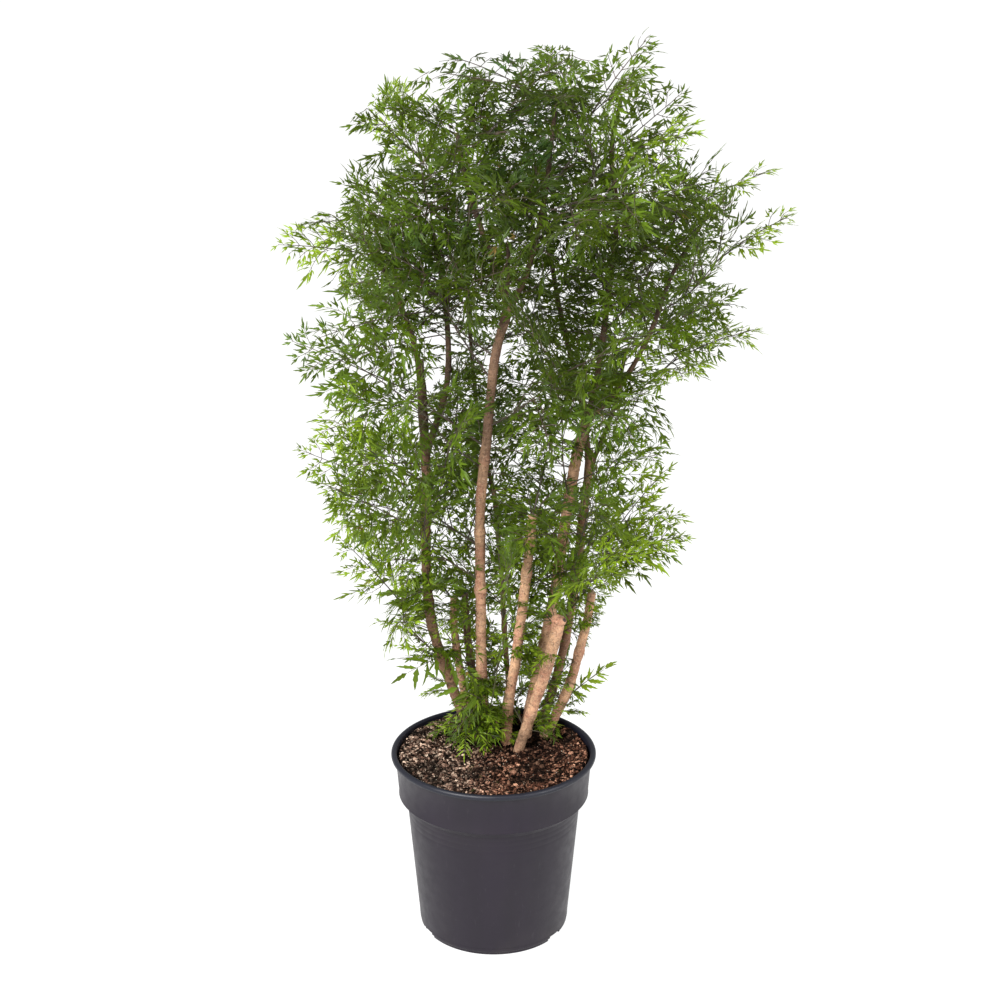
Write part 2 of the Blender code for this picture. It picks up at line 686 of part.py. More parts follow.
def leaf_fits(leaf, room, own):
    """True where a leaf stays in the crown and clear of everything else."""
    tips = [leaflet_tip(leaf, pair, side) for pair in range(leaflet_pairs(leaf))
            for side in (-1, 1)]
    if not all(in_crown(tip) for tip in tips + [rib_point(leaf, 1.0)]):
        return False
    blade = leaf_mesh(leaf, TEST_THICKNESS, blade_only=True)
    if not own.is_free(*blade):
        return False
    return room.is_free(*leaf_mesh(leaf, TEST_THICKNESS))


def twig_radii(line):
    """Radius at each station of a twig."""
    steps = len(line) - 1
    return [TWIG_ROOT_RADIUS + (TWIG_TIP_RADIUS - TWIG_ROOT_RADIUS) * i / steps
            for i in range(len(line))]


def grow_spray(tree, axis_point, target, leaf_length, room, rng):
    """A spray from a point of a cane to a target, or None where it doesn't fit."""
    leaf_length = min(leaf_length, 0.75 * (target - axis_point).length)
    line = twig_line(tree, axis_point, target, leaf_length)
    if line is None:
        return None
    twig = tube(line, twig_radii(line), TWIG_SIDES)
    fat_twig = tube(line[1:], [TWIG_ROOM_RADIUS] * (len(line) - 1), TWIG_SIDES)
    if not room.is_free(*twig) or not room.is_free(*fat_twig, skip=tree):
        return None
    own = Room()
    own.add(BVHTree.FromPolygons(*twig), twig[0])
    leaves = []
    makers = [lambda k: end_leaf(line, target, leaf_length, rng, k)]
    twig_length = sum((b - a).length for a, b in zip(line, line[1:]))
    for distance, side in SIDE_LEAVES:
        if distance < twig_length - TWIG_BARE_ROOT:
            makers.append(lambda k, distance=distance, side=side:
                          side_leaf(line, distance, side, leaf_length, rng, k))
    for maker in makers:
        for attempt in range(TRIES):
            leaf = maker(attempt)
            if leaf_fits(leaf, room, own):
                leaves.append(leaf)
                mesh = leaf_mesh(leaf)
                own.add(BVHTree.FromPolygons(*mesh), mesh[0])
                break
        if not leaves:
            return None
    if len(leaves) < 2:
        return None
    for other, low, high in own.taken:
        room.taken.append((other, low, high))
    return Spray(line, leaves)


def spray_targets():
    """Tip position and leaf length of each spray."""
    targets = [(from_front(*tip), length) for tip, length in OUTER_TIPS]
    for height, count, first, share, length in SPRAY_RINGS:
        for k in range(count):
            direction = math.radians(first + 360 * k / count)
            targets.append((crown_point(height, direction, share), length))
    return targets


def seats_for(target, leaf_length, lines, used):
    """Cane points a spray may grow from, the best first."""
    seats = []
    for name, line in lines:
        for point in line:
            level = math.hypot(target.x - point.x, target.y - point.y)
            too_high = max(0.0, point.z - (target.z - 0.30 * level))
            crowd = sum(1 for p in used if (p - point).length < 0.030)
            reach = (target - point).length
            too_near = max(0.0, SPRAY_REACH * leaf_length - reach)
            cost = reach + 2.2 * too_near + 1.5 * too_high + 0.3 * crowd
            seats.append((cost, name, point))
    seats.sort(key=lambda seat: (seat[0], seat[1]))
    return seats


def plan_sprays(canes, others):
    """Place every spray by a seeded rule, clear of all the rest."""
    rng = random.Random(SEED)
    room = Room()
    trees = {}
    for name, cane in canes.items():
        trees[name] = surface_tree(cane)
        room.add(trees[name], [v.co for v in cane.data.vertices])
    for obj in others:
        room.add(surface_tree(obj), [v.co for v in obj.data.vertices])
    for verts, faces in view_screens(canes):
        room.add(BVHTree.FromPolygons(verts, faces), verts)
    lines = [(name, [p for p in smooth_path(CANES[name][2], 0.018) if p.z > LOWEST_SEAT])
             for name in CANES]
    lines += [(parent, smooth_path(points, 0.018)[2:]) for parent, _, _, points in LIMBS]
    sprays, used = [], []
    for target, length in spray_targets():
        for _, name, point in seats_for(target, length, lines, used)[:SEATS_TRIED]:
            spray = grow_spray(trees[name], point, target, length, room, rng)
            if spray:
                sprays.append(spray)
                used.append(point)
                break
        else:
            print("no room for the spray at", [round(c, 3) for c in target])
    return sprays


def build_sprays(sprays, material):
    """One object for each spray, its leaves fused to its twig."""
    for number, spray in enumerate(sprays, 1):
        name = f"spray_{number:02d}"
        twig = tube(spray.twig, twig_radii(spray.twig), TWIG_SIDES)
        shoot = make_object(name, *twig, material)
        leaves = [make_object("leaf", *leaf_mesh(leaf)) for leaf in spray.leaves]
        combine(shoot, leaves, "UNION", "MANIFOLD")


def clear_scene():
    """Remove every object of the scene."""
    for obj in list(bpy.data.objects):
        bpy.data.objects.remove(obj)


def main():
    """Build the whole plant."""
    clear_scene()
    plastic = make_material("anthracite_plastic", (0.052, 0.048, 0.056), 0.45)
    earth = make_material("potting_soil", (0.105, 0.060, 0.038), 0.95)
    bark = make_material("aralia_bark", (0.40, 0.26, 0.17), 0.80)
    leafage = make_material("aralia_leaf", (0.085, 0.20, 0.035), 0.50)
    pot = build_pot(plastic)
    canes = build_canes(bark)
    soil = build_soil(earth)
    sprays = plan_sprays(canes, (pot, soil))
    build_sprays(sprays, leafage)


main()
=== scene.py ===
"""Looks of a potted ming aralia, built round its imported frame.

Each leafy spray of the frame is read back as its leaves, and every leaf is grown again as a
rachis with paired pinnae, stalked leaflets and side lobes. The canes get ringed bark, the soil
its crumbs, and the pot its rolled rim, foot and moulding lines. Sizes are in metres, +Z is up,
and the front view looks along +Y.
"""

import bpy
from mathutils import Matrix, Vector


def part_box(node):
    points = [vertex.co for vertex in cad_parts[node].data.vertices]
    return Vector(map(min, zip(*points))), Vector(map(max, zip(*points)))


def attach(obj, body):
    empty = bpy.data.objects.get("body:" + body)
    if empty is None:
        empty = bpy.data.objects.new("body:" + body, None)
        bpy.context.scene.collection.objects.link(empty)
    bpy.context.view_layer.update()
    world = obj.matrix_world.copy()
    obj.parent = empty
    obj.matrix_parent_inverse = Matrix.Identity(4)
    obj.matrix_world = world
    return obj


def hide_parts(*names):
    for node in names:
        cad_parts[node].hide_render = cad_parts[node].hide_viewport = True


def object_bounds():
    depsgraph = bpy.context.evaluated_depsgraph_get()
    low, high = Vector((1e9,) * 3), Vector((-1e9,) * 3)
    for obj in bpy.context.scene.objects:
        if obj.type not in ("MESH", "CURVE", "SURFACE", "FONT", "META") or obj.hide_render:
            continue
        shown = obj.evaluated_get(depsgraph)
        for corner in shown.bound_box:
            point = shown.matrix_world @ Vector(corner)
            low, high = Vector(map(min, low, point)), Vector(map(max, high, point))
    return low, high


bl_info = {
    "name": "Potted ming aralia",
    "version": (1, 0, 0),
    "blender": (4, 5, 0),
    "location": "3D View > Sidebar > Aralia",
    "description": "Dresses the packed frame of a potted ming aralia",
    "category": "Add Mesh",
}

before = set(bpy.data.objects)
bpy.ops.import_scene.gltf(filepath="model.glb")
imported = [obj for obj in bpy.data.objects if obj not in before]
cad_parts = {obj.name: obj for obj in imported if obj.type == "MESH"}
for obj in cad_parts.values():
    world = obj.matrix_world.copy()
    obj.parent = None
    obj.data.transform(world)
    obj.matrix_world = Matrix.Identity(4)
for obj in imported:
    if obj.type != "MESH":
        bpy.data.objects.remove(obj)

import math
import random
from collections import namedtuple

import bmesh
import bpy
import numpy as np
from bpy.props import FloatProperty, FloatVectorProperty, IntProperty, PointerProperty
from mathutils import Matrix, Vector
from mathutils.bvhtree import BVHTree
from mathutils.noise import noise

CAD_LOW, CAD_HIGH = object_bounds()
POT_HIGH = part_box("pot")[1]
UP = Vector((0.0, 0.0, 1.0))

# Pot: the outline of its outside, as radius and height
FOOT_RADIUS = 0.113
FOOT_HEIGHT = 0.0055
FLOOR_THICKNESS = 0.003
PAD_RADIUS = 0.030
BODY_BOTTOM_RADIUS = 0.1168
BODY_TOP_RADIUS = 0.1355
BODY_TOP = 0.2140
COLLAR_BOTTOM = 0.2318
COLLAR_BOTTOM_RADIUS = 0.1482
COLLAR_TOP = 0.289
COLLAR_TOP_RADIUS = 0.1530
# Shoulder under the collar, as radius and height, and the faint moulding lines of the body
SHOULDER = ((0.1360, 0.2180), (0.1368, 0.2240), (0.1385, 0.2270), (0.1430, 0.2286),
            (0.1472, 0.2290), (0.1482, 0.2293), (0.1488, 0.2299), (0.1488, 0.2305))
MOULDING_LINES = (0.1910, 0.2010, 0.2100)
FOOT_SEAM = 0.0130
NOTCH_HEIGHT = 0.0096
LIP_RADIUS = 0.0046
# Height from which the rim gets its painted bluish sheen
PAINTED_SHEEN_HEIGHT = 0.288
DRAIN_HOLES = 6
DRAIN_RADIUS = 0.005
DRAIN_CIRCLE = 0.075
# Foot notches: middle and width in degrees, from the front towards +X
FOOT_NOTCHES = ((-64.0, 15.0), (58.0, 17.0), (177.0, 15.0))

# Canes: radius at the soil, radius at the top, shade of bark, and the middle line upwards
CANES = {
    "cane_far_left": (0.0086, 0.0068, 0.50, (
        (-0.038, 0.105, 0.280), (-0.068, 0.106, 0.363), (-0.098, 0.108, 0.467),
        (-0.106, 0.110, 0.576), (-0.104, 0.110, 0.700), (-0.109, 0.106, 0.848),
        (-0.112, 0.104, 0.900))),
    "cane_left_light": (0.0068, 0.0056, 0.25, (
        (-0.029, 0.088, 0.280), (-0.047, 0.088, 0.358), (-0.061, 0.089, 0.456),
        (-0.063, 0.090, 0.520))),
    "cane_left_dark": (0.0065, 0.0056, 0.85, (
        (-0.019, 0.112, 0.280), (-0.032, 0.115, 0.365), (-0.042, 0.121, 0.440),
        (-0.046, 0.127, 0.510))),
    "cane_middle": (0.0088, 0.0068, 0.22, (
        (-0.012, 0.075, 0.280), (-0.019, 0.070, 0.400), (-0.020, 0.062, 0.526),
        (-0.020, 0.052, 0.678), (-0.008, 0.043, 0.817), (0.003, 0.036, 0.926),
        (0.025, 0.030, 1.008))),
    "cane_front_light": (0.0088, 0.0074, 0.0, (
        (0.020, 0.069, 0.280), (0.024, 0.065, 0.354), (0.036, 0.060, 0.434),
        (0.048, 0.053, 0.546), (0.060, 0.045, 0.672))),
    "cane_front_knob": (0.0078, 0.0098, 0.08, (
        (0.040, 0.041, 0.280), (0.066, 0.027, 0.371), (0.081, 0.019, 0.426),
        (0.096, 0.009, 0.490), (0.100, 0.004, 0.520))),
    "cane_right_tall": (0.0098, 0.0080, 0.16, (
        (0.050, 0.084, 0.280), (0.071, 0.089, 0.395), (0.094, 0.093, 0.513),
        (0.112, 0.099, 0.645), (0.127, 0.103, 0.742), (0.143, 0.106, 0.810))),
    "cane_right_back": (0.0074, 0.0066, 0.50, (
        (0.075, 0.113, 0.280), (0.105, 0.121, 0.388), (0.125, 0.132, 0.497),
        (0.146, 0.150, 0.683), (0.150, 0.156, 0.740))),
    "cane_right_short": (0.0088, 0.0064, 0.0, (
        (0.081, 0.080, 0.280), (0.117, 0.086, 0.361), (0.144, 0.089, 0.464),
        (0.154, 0.090, 0.526))),
    "cane_back_thin": (0.0042, 0.0036, 0.60, (
        (0.029, 0.120, 0.280), (0.018, 0.130, 0.429), (0.012, 0.138, 0.540),
        (0.000, 0.150, 0.680))),
}

# Limbs: the cane they grow from, radius at the root, radius at the end, middle line
LIMBS = (
    ("cane_far_left", 0.0055, 0.0034, (
        (-0.105, 0.109, 0.750), (-0.083, 0.099, 0.815), (-0.068, 0.088, 0.890),
        (-0.072, 0.080, 1.000), (-0.090, 0.078, 1.110))),
    ("cane_far_left", 0.0046, 0.0030, (
        (-0.111, 0.104, 0.885), (-0.130, 0.110, 0.960), (-0.165, 0.108, 1.040),
        (-0.196, 0.092, 1.100))),
    ("cane_middle", 0.0050, 0.0030, (
        (0.023, 0.031, 0.995), (0.000, 0.034, 1.070), (-0.035, 0.040, 1.170),
        (-0.052, 0.045, 1.255))),
    ("cane_middle", 0.0048, 0.0028, (
        (0.018, 0.032, 0.985), (0.050, 0.020, 1.060), (0.072, 0.010, 1.160),
        (0.088, 0.014, 1.290))),
    ("cane_middle", 0.0040, 0.0028, (
        (0.012, 0.034, 0.968), (0.020, -0.020, 1.040), (0.022, -0.070, 1.120))),
    ("cane_right_tall", 0.0052, 0.0030, (
        (0.140, 0.106, 0.795), (0.158, 0.100, 0.880), (0.170, 0.092, 0.990),
        (0.182, 0.086, 1.120), (0.172, 0.082, 1.220), (0.184, 0.076, 1.300))),
    ("cane_right_tall", 0.0044, 0.0028, (
        (0.141, 0.105, 0.800), (0.190, 0.080, 0.865), (0.232, 0.066, 0.950),
        (0.262, 0.062, 1.040), (0.302, 0.060, 1.115))),
    ("cane_right_back", 0.0048, 0.0028, (
        (0.149, 0.155, 0.725), (0.136, 0.172, 0.820), (0.104, 0.182, 0.950),
        (0.082, 0.180, 1.080), (0.070, 0.172, 1.190))),
    ("cane_right_back", 0.0040, 0.0028, (
        (0.148, 0.153, 0.705), (0.186, 0.190, 0.790), (0.208, 0.214, 0.890))),
    ("cane_back_thin", 0.0034, 0.0026, (
        (0.004, 0.147, 0.650), (-0.022, 0.172, 0.780), (-0.035, 0.190, 0.900),
        (-0.040, 0.186, 1.020), (-0.036, 0.170, 1.130))),
)
CANE_FOOT = 0.250
CANE_SIDES = 16
LIMB_SIDES = 10
RING_SPACING = (0.006, 0.013)
# Knees of the canes: height and swelling, which fades over KNEE_FADE up and down
KNEES = {
    "cane_far_left": ((0.400, 0.0014), (0.505, 0.0012), (0.640, 0.0014)),
    "cane_left_light": ((0.350, 0.0010), (0.430, 0.0012)),
    "cane_left_dark": ((0.400, 0.0012),),
    "cane_middle": ((0.410, 0.0007), (0.543, 0.0018), (0.640, 0.0012), (0.760, 0.0014)),
    "cane_front_light": ((0.350, 0.0008), (0.470, 0.0015), (0.575, 0.0014)),
    "cane_front_knob": ((0.345, 0.0009), (0.430, 0.0010)),
    "cane_right_tall": ((0.400, 0.0010), (0.480, 0.0014), (0.610, 0.0012)),
    "cane_right_back": ((0.430, 0.0012),),
    "cane_right_short": ((0.350, 0.0010), (0.425, 0.0014)),
    "cane_back_thin": ((0.450, 0.0008),),
}
KNEE_FADE = 0.007
# How much darker the bark is at the soil, cane by cane and on the others: partly darker bark,
# partly painted shade low down among the leaves
FOOT_SHADES = {"cane_far_left": 0.45, "cane_left_light": 0.45, "cane_left_dark": 0.10,
               "cane_middle": 0.35, "cane_front_light": 0.0, "cane_front_knob": 0.42,
               "cane_right_short": 0.20}
PLAIN_FOOT_SHADE = 0.12
FOOT_SHADE_TOP = 0.345
FOOT_SHADE_FADE = 0.045
DARKEST_CANE = 0.92
# Tall canes get darker over a stretch above this height, partly browner bark and partly painted
# shade inside the crown
TALL_CANE = 0.70
DARK_START = 0.71
DARK_FADE = 0.08
DARK_SHARE = 0.52
# Limbs: shade of bark at both ends, partly painted shade inside the crown, and how much wider
# they are where they leave the cane
LIMB_AGES_AND_SHADES = (0.85, 1.0)
LIMB_FLARE = 0.5
FLARE_FADE = 0.010
# Scars of fallen leaves: half widths of the ridge and of the dip before it, and their distance
SCAR_WIDTH = 0.0016
DIP_WIDTH = 0.0018
DIP_DISTANCE = 0.0028
DIP_SHARE = 0.6
# Height of a scar where it has worn off, as a share, and the radius from which relief is full
BARE_SHARE = 0.35
THICK_CANE = 0.006
# How far a cut top is drawn out, as a share of its radius
POINTED_TOPS = {"cane_right_short": 0.9}
# Knobs of healed wood at the swollen top of a cane: the cane, offset from its top, radius,
# and how near to the way of the old cut a face is part of it, 2 for no cut
KNOBS = (
    ("cane_front_knob", (-0.0034, -0.0010, -0.0018), 0.0080, 2.0),
    ("cane_front_knob", (0.0042, -0.0028, -0.0046), 0.0070, 0.89),
)
# Way that a knob's old dark cut looks
KNOB_CUT = Vector((0.66, -0.50, 0.56))
DARK_TOPS = ("cane_left_dark",)

# Soil: its level, its edge, the bank along the wall and the hollow between the canes
SOIL_TOP = 0.2795
SOIL_EDGE = 0.1475
SOIL_BANK = 0.0155
BANK_START = 0.45
SOIL_HOLLOW = 0.0035
HOLLOW_MIDDLE = (0.040, 0.070)
HOLLOW_REACH = 0.06
SOIL_RINGS = 56
SOIL_SIDES = 150
SOIL_CLEARANCE = 0.0004
SOIL_BOTTOM = 0.009
# Smallest and largest lump, then how flat it is and how much of it stands out
CHUNKS = ((0.0028, 0.0060), 0.42, 0.45)
CRUMBS = ((0.0016, 0.0042), 0.55, 0.50)
GRAINS = ((0.0005, 0.0012), 0.9, 0.9)
CRUMBS_TO_A_CHUNK = 5

# Colours that belong to one finish, and strengths of a surface's mirror shine
POT_DUST = (0.060, 0.050, 0.044)
POT_SCUFF = (0.10, 0.095, 0.10)
# Painted bluish sheen on the rim
PAINTED_RIM_SHEEN = (0.0075, 0.0092, 0.0160)
SOIL_TINT_LEFT = (0.96, 0.94, 0.92)
SOIL_TINT_RIGHT = (0.97, 0.72, 0.61)
# Near black of moist soil, also used as painted shade between clumps
DAMP_AND_SHADED_SOIL = (0.006, 0.004, 0.003)
MOSS = (0.060, 0.070, 0.020)
GRAIN_TONES = ((0.20, 0.15, 0.11), (0.42, 0.35, 0.27))
ROSY_BARK = (0.370, 0.165, 0.104)
RING_BARK = (0.150, 0.080, 0.050)
FLAKE_BARK = (0.710, 0.500, 0.352)
PIT_BARK = (0.085, 0.044, 0.030)
FRESH_CUT = ((0.16, 0.10, 0.065), (0.46, 0.33, 0.21))
OLD_CUT = ((0.010, 0.007, 0.006), (0.040, 0.026, 0.018))
GREEN_STALK = ((0.050, 0.056, 0.018), (0.056, 0.032, 0.021))
COOL_LEAF = (0.030, 0.080, 0.024)
LEAF_MOTTLE = (0.19, 0.265, 0.012)
LEAF_GLOW = (0.38, 0.52, 0.012)
WHITE = (1.0, 1.0, 1.0, 1.0)
POT_SHINE = 0.36
SOIL_SHINE = 0.05
BARK_SHINE = 0.25
LEAF_SHINE = 0.27

# How the frame's leaves are laid out along the rib, as shares of a leaf's length
PETIOLE_SHARE = 0.22
PAIRED_SHARE = 0.82
LEAF_ARCH = 0.16
LEAF_ASPECT = 0.94
LEAFLET_SWEEP = 0.40
END_SWEEP = 0.70
LEAFLET_DROOP = 0.16
# How the frame's sprays are read: tips on a leaf, widest angle of a tip, and how near the
# corners of a ring, a leaf's root and the twig's knee at the bark are
FRAME_TIPS = (7, 9)
TIP_ANGLE = 1.7
RING_REACH = 0.0052
ROOT_REACH = 0.008
KNEE_REACH = 0.016
TWIG_SINK = 0.0015
# Radii of the stalks at both ends
TWIG_RADII = (0.0015, 0.0008)
RIB_RADII = (0.0011, 0.0005)
FROND_RIB_RADII = (0.0009, 0.0004)
PINNA_RADII = (0.00070, 0.00035)
STALK_HALF_WIDTH = 0.00042

# Crown: its middle, then its upper outline as place from left to right and height. Leaflets
# above the outline are left out for the most part, and pinnae and ribs from a slack above it
CROWN_MIDDLE = Vector((0.025, 0.070, 0.0))
CROWN_TOP = ((-0.30, 1.180), (-0.22, 1.270), (-0.13, 1.325), (-0.01, 1.345), (0.025, 1.368),
             (0.100, 1.370), (0.150, 1.362), (0.200, 1.385), (0.300, 1.420))
TRIM_SHARE = 0.8
TRIM_SLACK = 0.010
# Youth of a leaf, which also paints shade inside the crown and light at its edge and top: how
# much a metre forwards counts beside one sideways, gain for a metre from the middle, in the crown
# and at its left and low edge, low down and above a height, and the youth at which leaves are
# full-grown and young
FRONT_SHARE = 0.5
YOUTH_AND_LIGHT_OUT = 1.6
YOUTH_AND_LIGHT_OUT_EDGE = 2.3
EDGE_HEIGHT = 1.0
EDGE_LEFT = -0.06
YOUTH_LOW = 0.32
LOW_TOP = 0.92
LOW_FADE = 0.30
YOUTH_AND_LIGHT_HIGH = 1.2
HIGH_START = 1.15
YOUTH_DRIFT = 0.30
GROWN_YOUTH_AND_LIGHT = 0.30
YOUNG_YOUTH_AND_LIGHT = 0.62

# A leaf: its root, the way it grows, the way its face looks, its length and arch
Leaf = namedtuple("Leaf", "root direction normal length arch", defaults=(LEAF_ARCH,))
# Smaller leaves between those of the frame, fewer below a height
FILL_SHARE = 0.70
LOW_FILL_SHARE = 0.18
FILL_HEIGHT = 0.90
FILL_LENGTH = 0.80
# Pairs of leaflets on these and on the frame's low leaves, and a leaflet's share of the length
FILL_PAIRS = 6
LOW_PAIRS = 7
FRAME_FROND_LEAFLET = 0.24

# Young shoots low on the canes: height, heading in degrees from +X towards +Y, leaf length
SHOOTS = {
    "cane_far_left": ((0.640, 260, 0.080), (0.600, 285, 0.080), (0.565, 270, 0.075),
                      (0.540, 215, 0.080), (0.515, 290, 0.070), (0.485, 262, 0.060),
                      (0.455, 190, 0.085), (0.430, 280, 0.055), (0.400, 205, 0.070),
                      (0.470, 80, 0.080), (0.350, 190, 0.050), (0.680, 290, 0.080),
                      (0.620, 240, 0.060), (0.580, 300, 0.060), (0.550, 250, 0.060),
                      (0.525, 235, 0.060), (0.500, 250, 0.050), (0.445, 240, 0.050),
                      (0.415, 300, 0.050), (0.700, 250, 0.070), (0.720, 300, 0.070)),
    "cane_left_light": ((0.505, 280, 0.060), (0.480, 240, 0.055), (0.450, 330, 0.055),
                        (0.420, 265, 0.045), (0.370, 320, 0.045), (0.495, 255, 0.050),
                        (0.465, 290, 0.050), (0.435, 235, 0.050), (0.400, 300, 0.045)),
    "cane_left_dark": ((0.480, 100, 0.080), (0.420, 20, 0.070), (0.370, 60, 0.070),
                       (0.335, 10, 0.070)),
    "cane_middle": ((0.610, 185, 0.070), (0.585, 20, 0.080), (0.540, 15, 0.070),
                    (0.500, 200, 0.050), (0.455, 0, 0.034), (0.418, 350, 0.030),
                    (0.385, 300, 0.032), (0.376, 255, 0.034), (0.362, 330, 0.034),
                    (0.352, 235, 0.040), (0.345, 285, 0.044), (0.334, 320, 0.034),
                    (0.324, 255, 0.046), (0.312, 300, 0.048), (0.300, 330, 0.028),
                    (0.298, 240, 0.046), (0.292, 285, 0.048), (0.322, 350, 0.026),
                    (0.355, 15, 0.030), (0.376, 295, 0.040), (0.368, 265, 0.042),
                    (0.382, 325, 0.034), (0.352, 262, 0.044), (0.342, 300, 0.044),
                    (0.360, 215, 0.040), (0.330, 225, 0.044), (0.312, 265, 0.046),
                    (0.392, 270, 0.034), (0.388, 235, 0.036), (0.372, 315, 0.036),
                    (0.660, 0, 0.075), (0.700, 350, 0.080), (0.740, 10, 0.080),
                    (0.780, 340, 0.080), (0.820, 0, 0.080), (0.860, 20, 0.080)),
    "cane_front_light": ((0.472, 320, 0.026), (0.452, 300, 0.030), (0.436, 335, 0.026),
                         (0.462, 340, 0.026), (0.444, 285, 0.030), (0.428, 315, 0.030),
                         (0.420, 345, 0.024), (0.456, 320, 0.028), (0.440, 320, 0.026),
                         (0.290, 205, 0.018), (0.288, 320, 0.016),
                         (0.600, 240, 0.040), (0.620, 275, 0.045),
                         (0.640, 250, 0.050), (0.655, 300, 0.050), (0.605, 320, 0.045),
                         (0.668, 90, 0.080), (0.668, 30, 0.080), (0.668, 150, 0.075),
                         (0.670, 210, 0.060), (0.668, 340, 0.070)),
    "cane_front_knob": ((0.512, 160, 0.060), (0.455, 245, 0.036), (0.400, 20, 0.045),
                        (0.350, 30, 0.050), (0.315, 350, 0.045), (0.500, 110, 0.070)),
    "cane_right_tall": ((0.520, 200, 0.070), (0.460, 120, 0.070), (0.420, 100, 0.080),
                        (0.370, 90, 0.070), (0.350, 60, 0.070), (0.320, 30, 0.060),
                        (0.560, 262, 0.065), (0.580, 280, 0.060), (0.700, 200, 0.080),
                        (0.730, 180, 0.080), (0.760, 220, 0.080), (0.790, 200, 0.080),
                        (0.755, 262, 0.070), (0.785, 285, 0.070)),
    "cane_right_back": ((0.400, 200, 0.070), (0.360, 300, 0.060), (0.330, 240, 0.060),
                        (0.500, 280, 0.070), (0.450, 120, 0.070)),
    "cane_right_short": ((0.410, 215, 0.060), (0.385, 240, 0.045), (0.322, 336, 0.036),
                         (0.345, 200, 0.055), (0.312, 250, 0.045), (0.492, 300, 0.020),
                         (0.482, 250, 0.020), (0.472, 280, 0.018)),
    "cane_back_thin": ((0.500, 200, 0.045), (0.460, 350, 0.030), (0.420, 190, 0.030),
                       (0.380, 350, 0.040), (0.340, 0, 0.060), (0.312, 250, 0.050)),
}
SHOOT_RISE = 22.0
SHOOT_ARCH = 0.30
SHOOT_PAIRS = 5
SHOOT_TOP = 0.73
LEAVES_OF_A_TUFT = 3
LIMB_LEAF = (0.060, 0.085)
# Leaflets of shoots and fronds: the shortest, and what each metre of the leaf adds
SHORTEST_LEAFLET = 0.010
LEAFLET_GAIN = 0.18
# Shares of shoots and of fronds that have the colour of young leaves
YOUNG_SHOOTS = 0.50
YOUNG_FRONDS = 0.80
# Fern-like fronds from the foot of the plant: heading in degrees, rise, length
FROND_FOOT = Vector((-0.042, 0.070, 0.310))
FRONDS = ((190, 30, 0.044), (206, 16, 0.052), (226, 34, 0.046), (250, 16, 0.050),
          (267, 8, 0.058), (292, 26, 0.050), (318, 14, 0.052), (334, 22, 0.054),
          (350, 38, 0.050), (304, 52, 0.046), (236, 56, 0.044))
FROND_ARCH = 0.46
FROND_PAIRS = 9
FROND_WIDTH = 0.075
# Twigs that start below this are green
GREEN_TWIG_HEIGHT = 0.60
# Leaves with few broad leaflets: those that start below BROAD_HEIGHT and reach in front of
# BROAD_FRONT and past BROAD_SIDE from the middle. BROAD_TURN turns their faces to the front,
# and BROAD_WIDTH, as FROND_WIDTH, is a half width as a share of a leaflet's length
BROAD_HEIGHT = 0.46
BROAD_FRONT = 0.165
BROAD_SIDE = 0.07
BROAD_WIDTH = 0.135
BROAD_TURN = Vector((0.0, -0.8, 0.0))
BROAD_PAIRS = 4
BROAD_LEAFLET = 0.27
# Leaflets that are missing: everywhere, and more for each metre past the dense middle
MISSING_SHARE = 0.03
DENSE_REACH = 0.18
AIRY_LEFT = 2.1
AIRY_RIGHT = 1.5
# Shares of leaflets that are dry, and older than the rest of their leaf
DRY_SHARE = 0.0010
OLDER_SHARE = 0.16
# How far leaflets may reach past the box of the frame, and how sharply they are folded
BOX_SLACK = 0.008
LEAFLET_FOLD = 0.35

# Half of a leaflet: rib points as shares of its length, edge points as shares of its length
# and of its half width, then its triangles; the other half mirrors it
RIB_POINTS = (0.0, 0.36, 0.68, 1.0)
TOOTHED_EDGE = ((0.18, 0.66), (0.46, 1.0), (0.49, 0.62), (0.74, 0.66))
TOOTHED_FACES = (("r0", "r1", "e0"), ("e0", "r1", "e1"), ("e1", "r1", "e2"),
                 ("e2", "r1", "r2"), ("e2", "r2", "e3"), ("e3", "r2", "r3"))
BROAD_RIB = (0.0, 0.30, 0.62, 1.0)
BROAD_EDGE = ((0.10, 0.30), (0.30, 1.0), (0.36, 0.62), (0.58, 0.88), (0.64, 0.46), (0.80, 0.42))
BROAD_FACES = (("r0", "r1", "e0"), ("e0", "r1", "e1"), ("e1", "r1", "e2"), ("e2", "r1", "r2"),
               ("e2", "r2", "e3"), ("e3", "r2", "e4"), ("e4", "r2", "e5"), ("e5", "r2", "r3"))
PLAIN_RIB = (0.0, 0.50, 1.0)
PLAIN_EDGE = ((0.40, 1.0),)
PLAIN_FACES = (("r0", "r1", "e0"), ("e0", "r1", "r2"))

# Soft lamps: name, place, size, and power as a share of the key light's; then the floor
LAMPS = (("lamp_left", (-1.6, -2.3, 2.6), 1.7, 1.0), ("lamp_right", (2.4, -1.4, 1.6), 1.6, 0.26))
LAMP_AIM = (0.0, 0.0, 0.7)
FLOOR_REACH = 14.0
FLOOR_DROP = 0.0005

# Numbers of the foliage's materials; the old and young leaf colours also paint shade and light
STALK_DARK, STALK_GREEN, LEAF_OLD_AND_SHADED, LEAF_GROWN, LEAF_YOUNG_AND_LIT, LEAF_DRY = range(6)


def colour_setting(name, default, description):
    """A colour that a user can change."""
    return FloatVectorProperty(name=name, subtype="COLOR", size=3, default=default,
                               description=description)


def length_setting(name, default, description):
    """A length that a user can change."""
    return FloatProperty(name=name, default=default, unit="LENGTH", description=description)


class PotSettings(bpy.types.PropertyGroup):
    """Size and finish of the nursery pot."""
    rim_radius: length_setting("Rim radius", POT_HIGH.x, "Outer radius of the rolled rim")
    height: length_setting("Height", POT_HIGH.z, "Height of the pot")
    wall: length_setting("Wall", 0.0022, "Thickness of the pot's wall")
    segments: IntProperty(name="Segments", default=160, min=24,
                          description="Faces round the pot")
    colour: colour_setting("Plastic", (0.0080, 0.0050, 0.0105), "Colour of the moulded plastic")


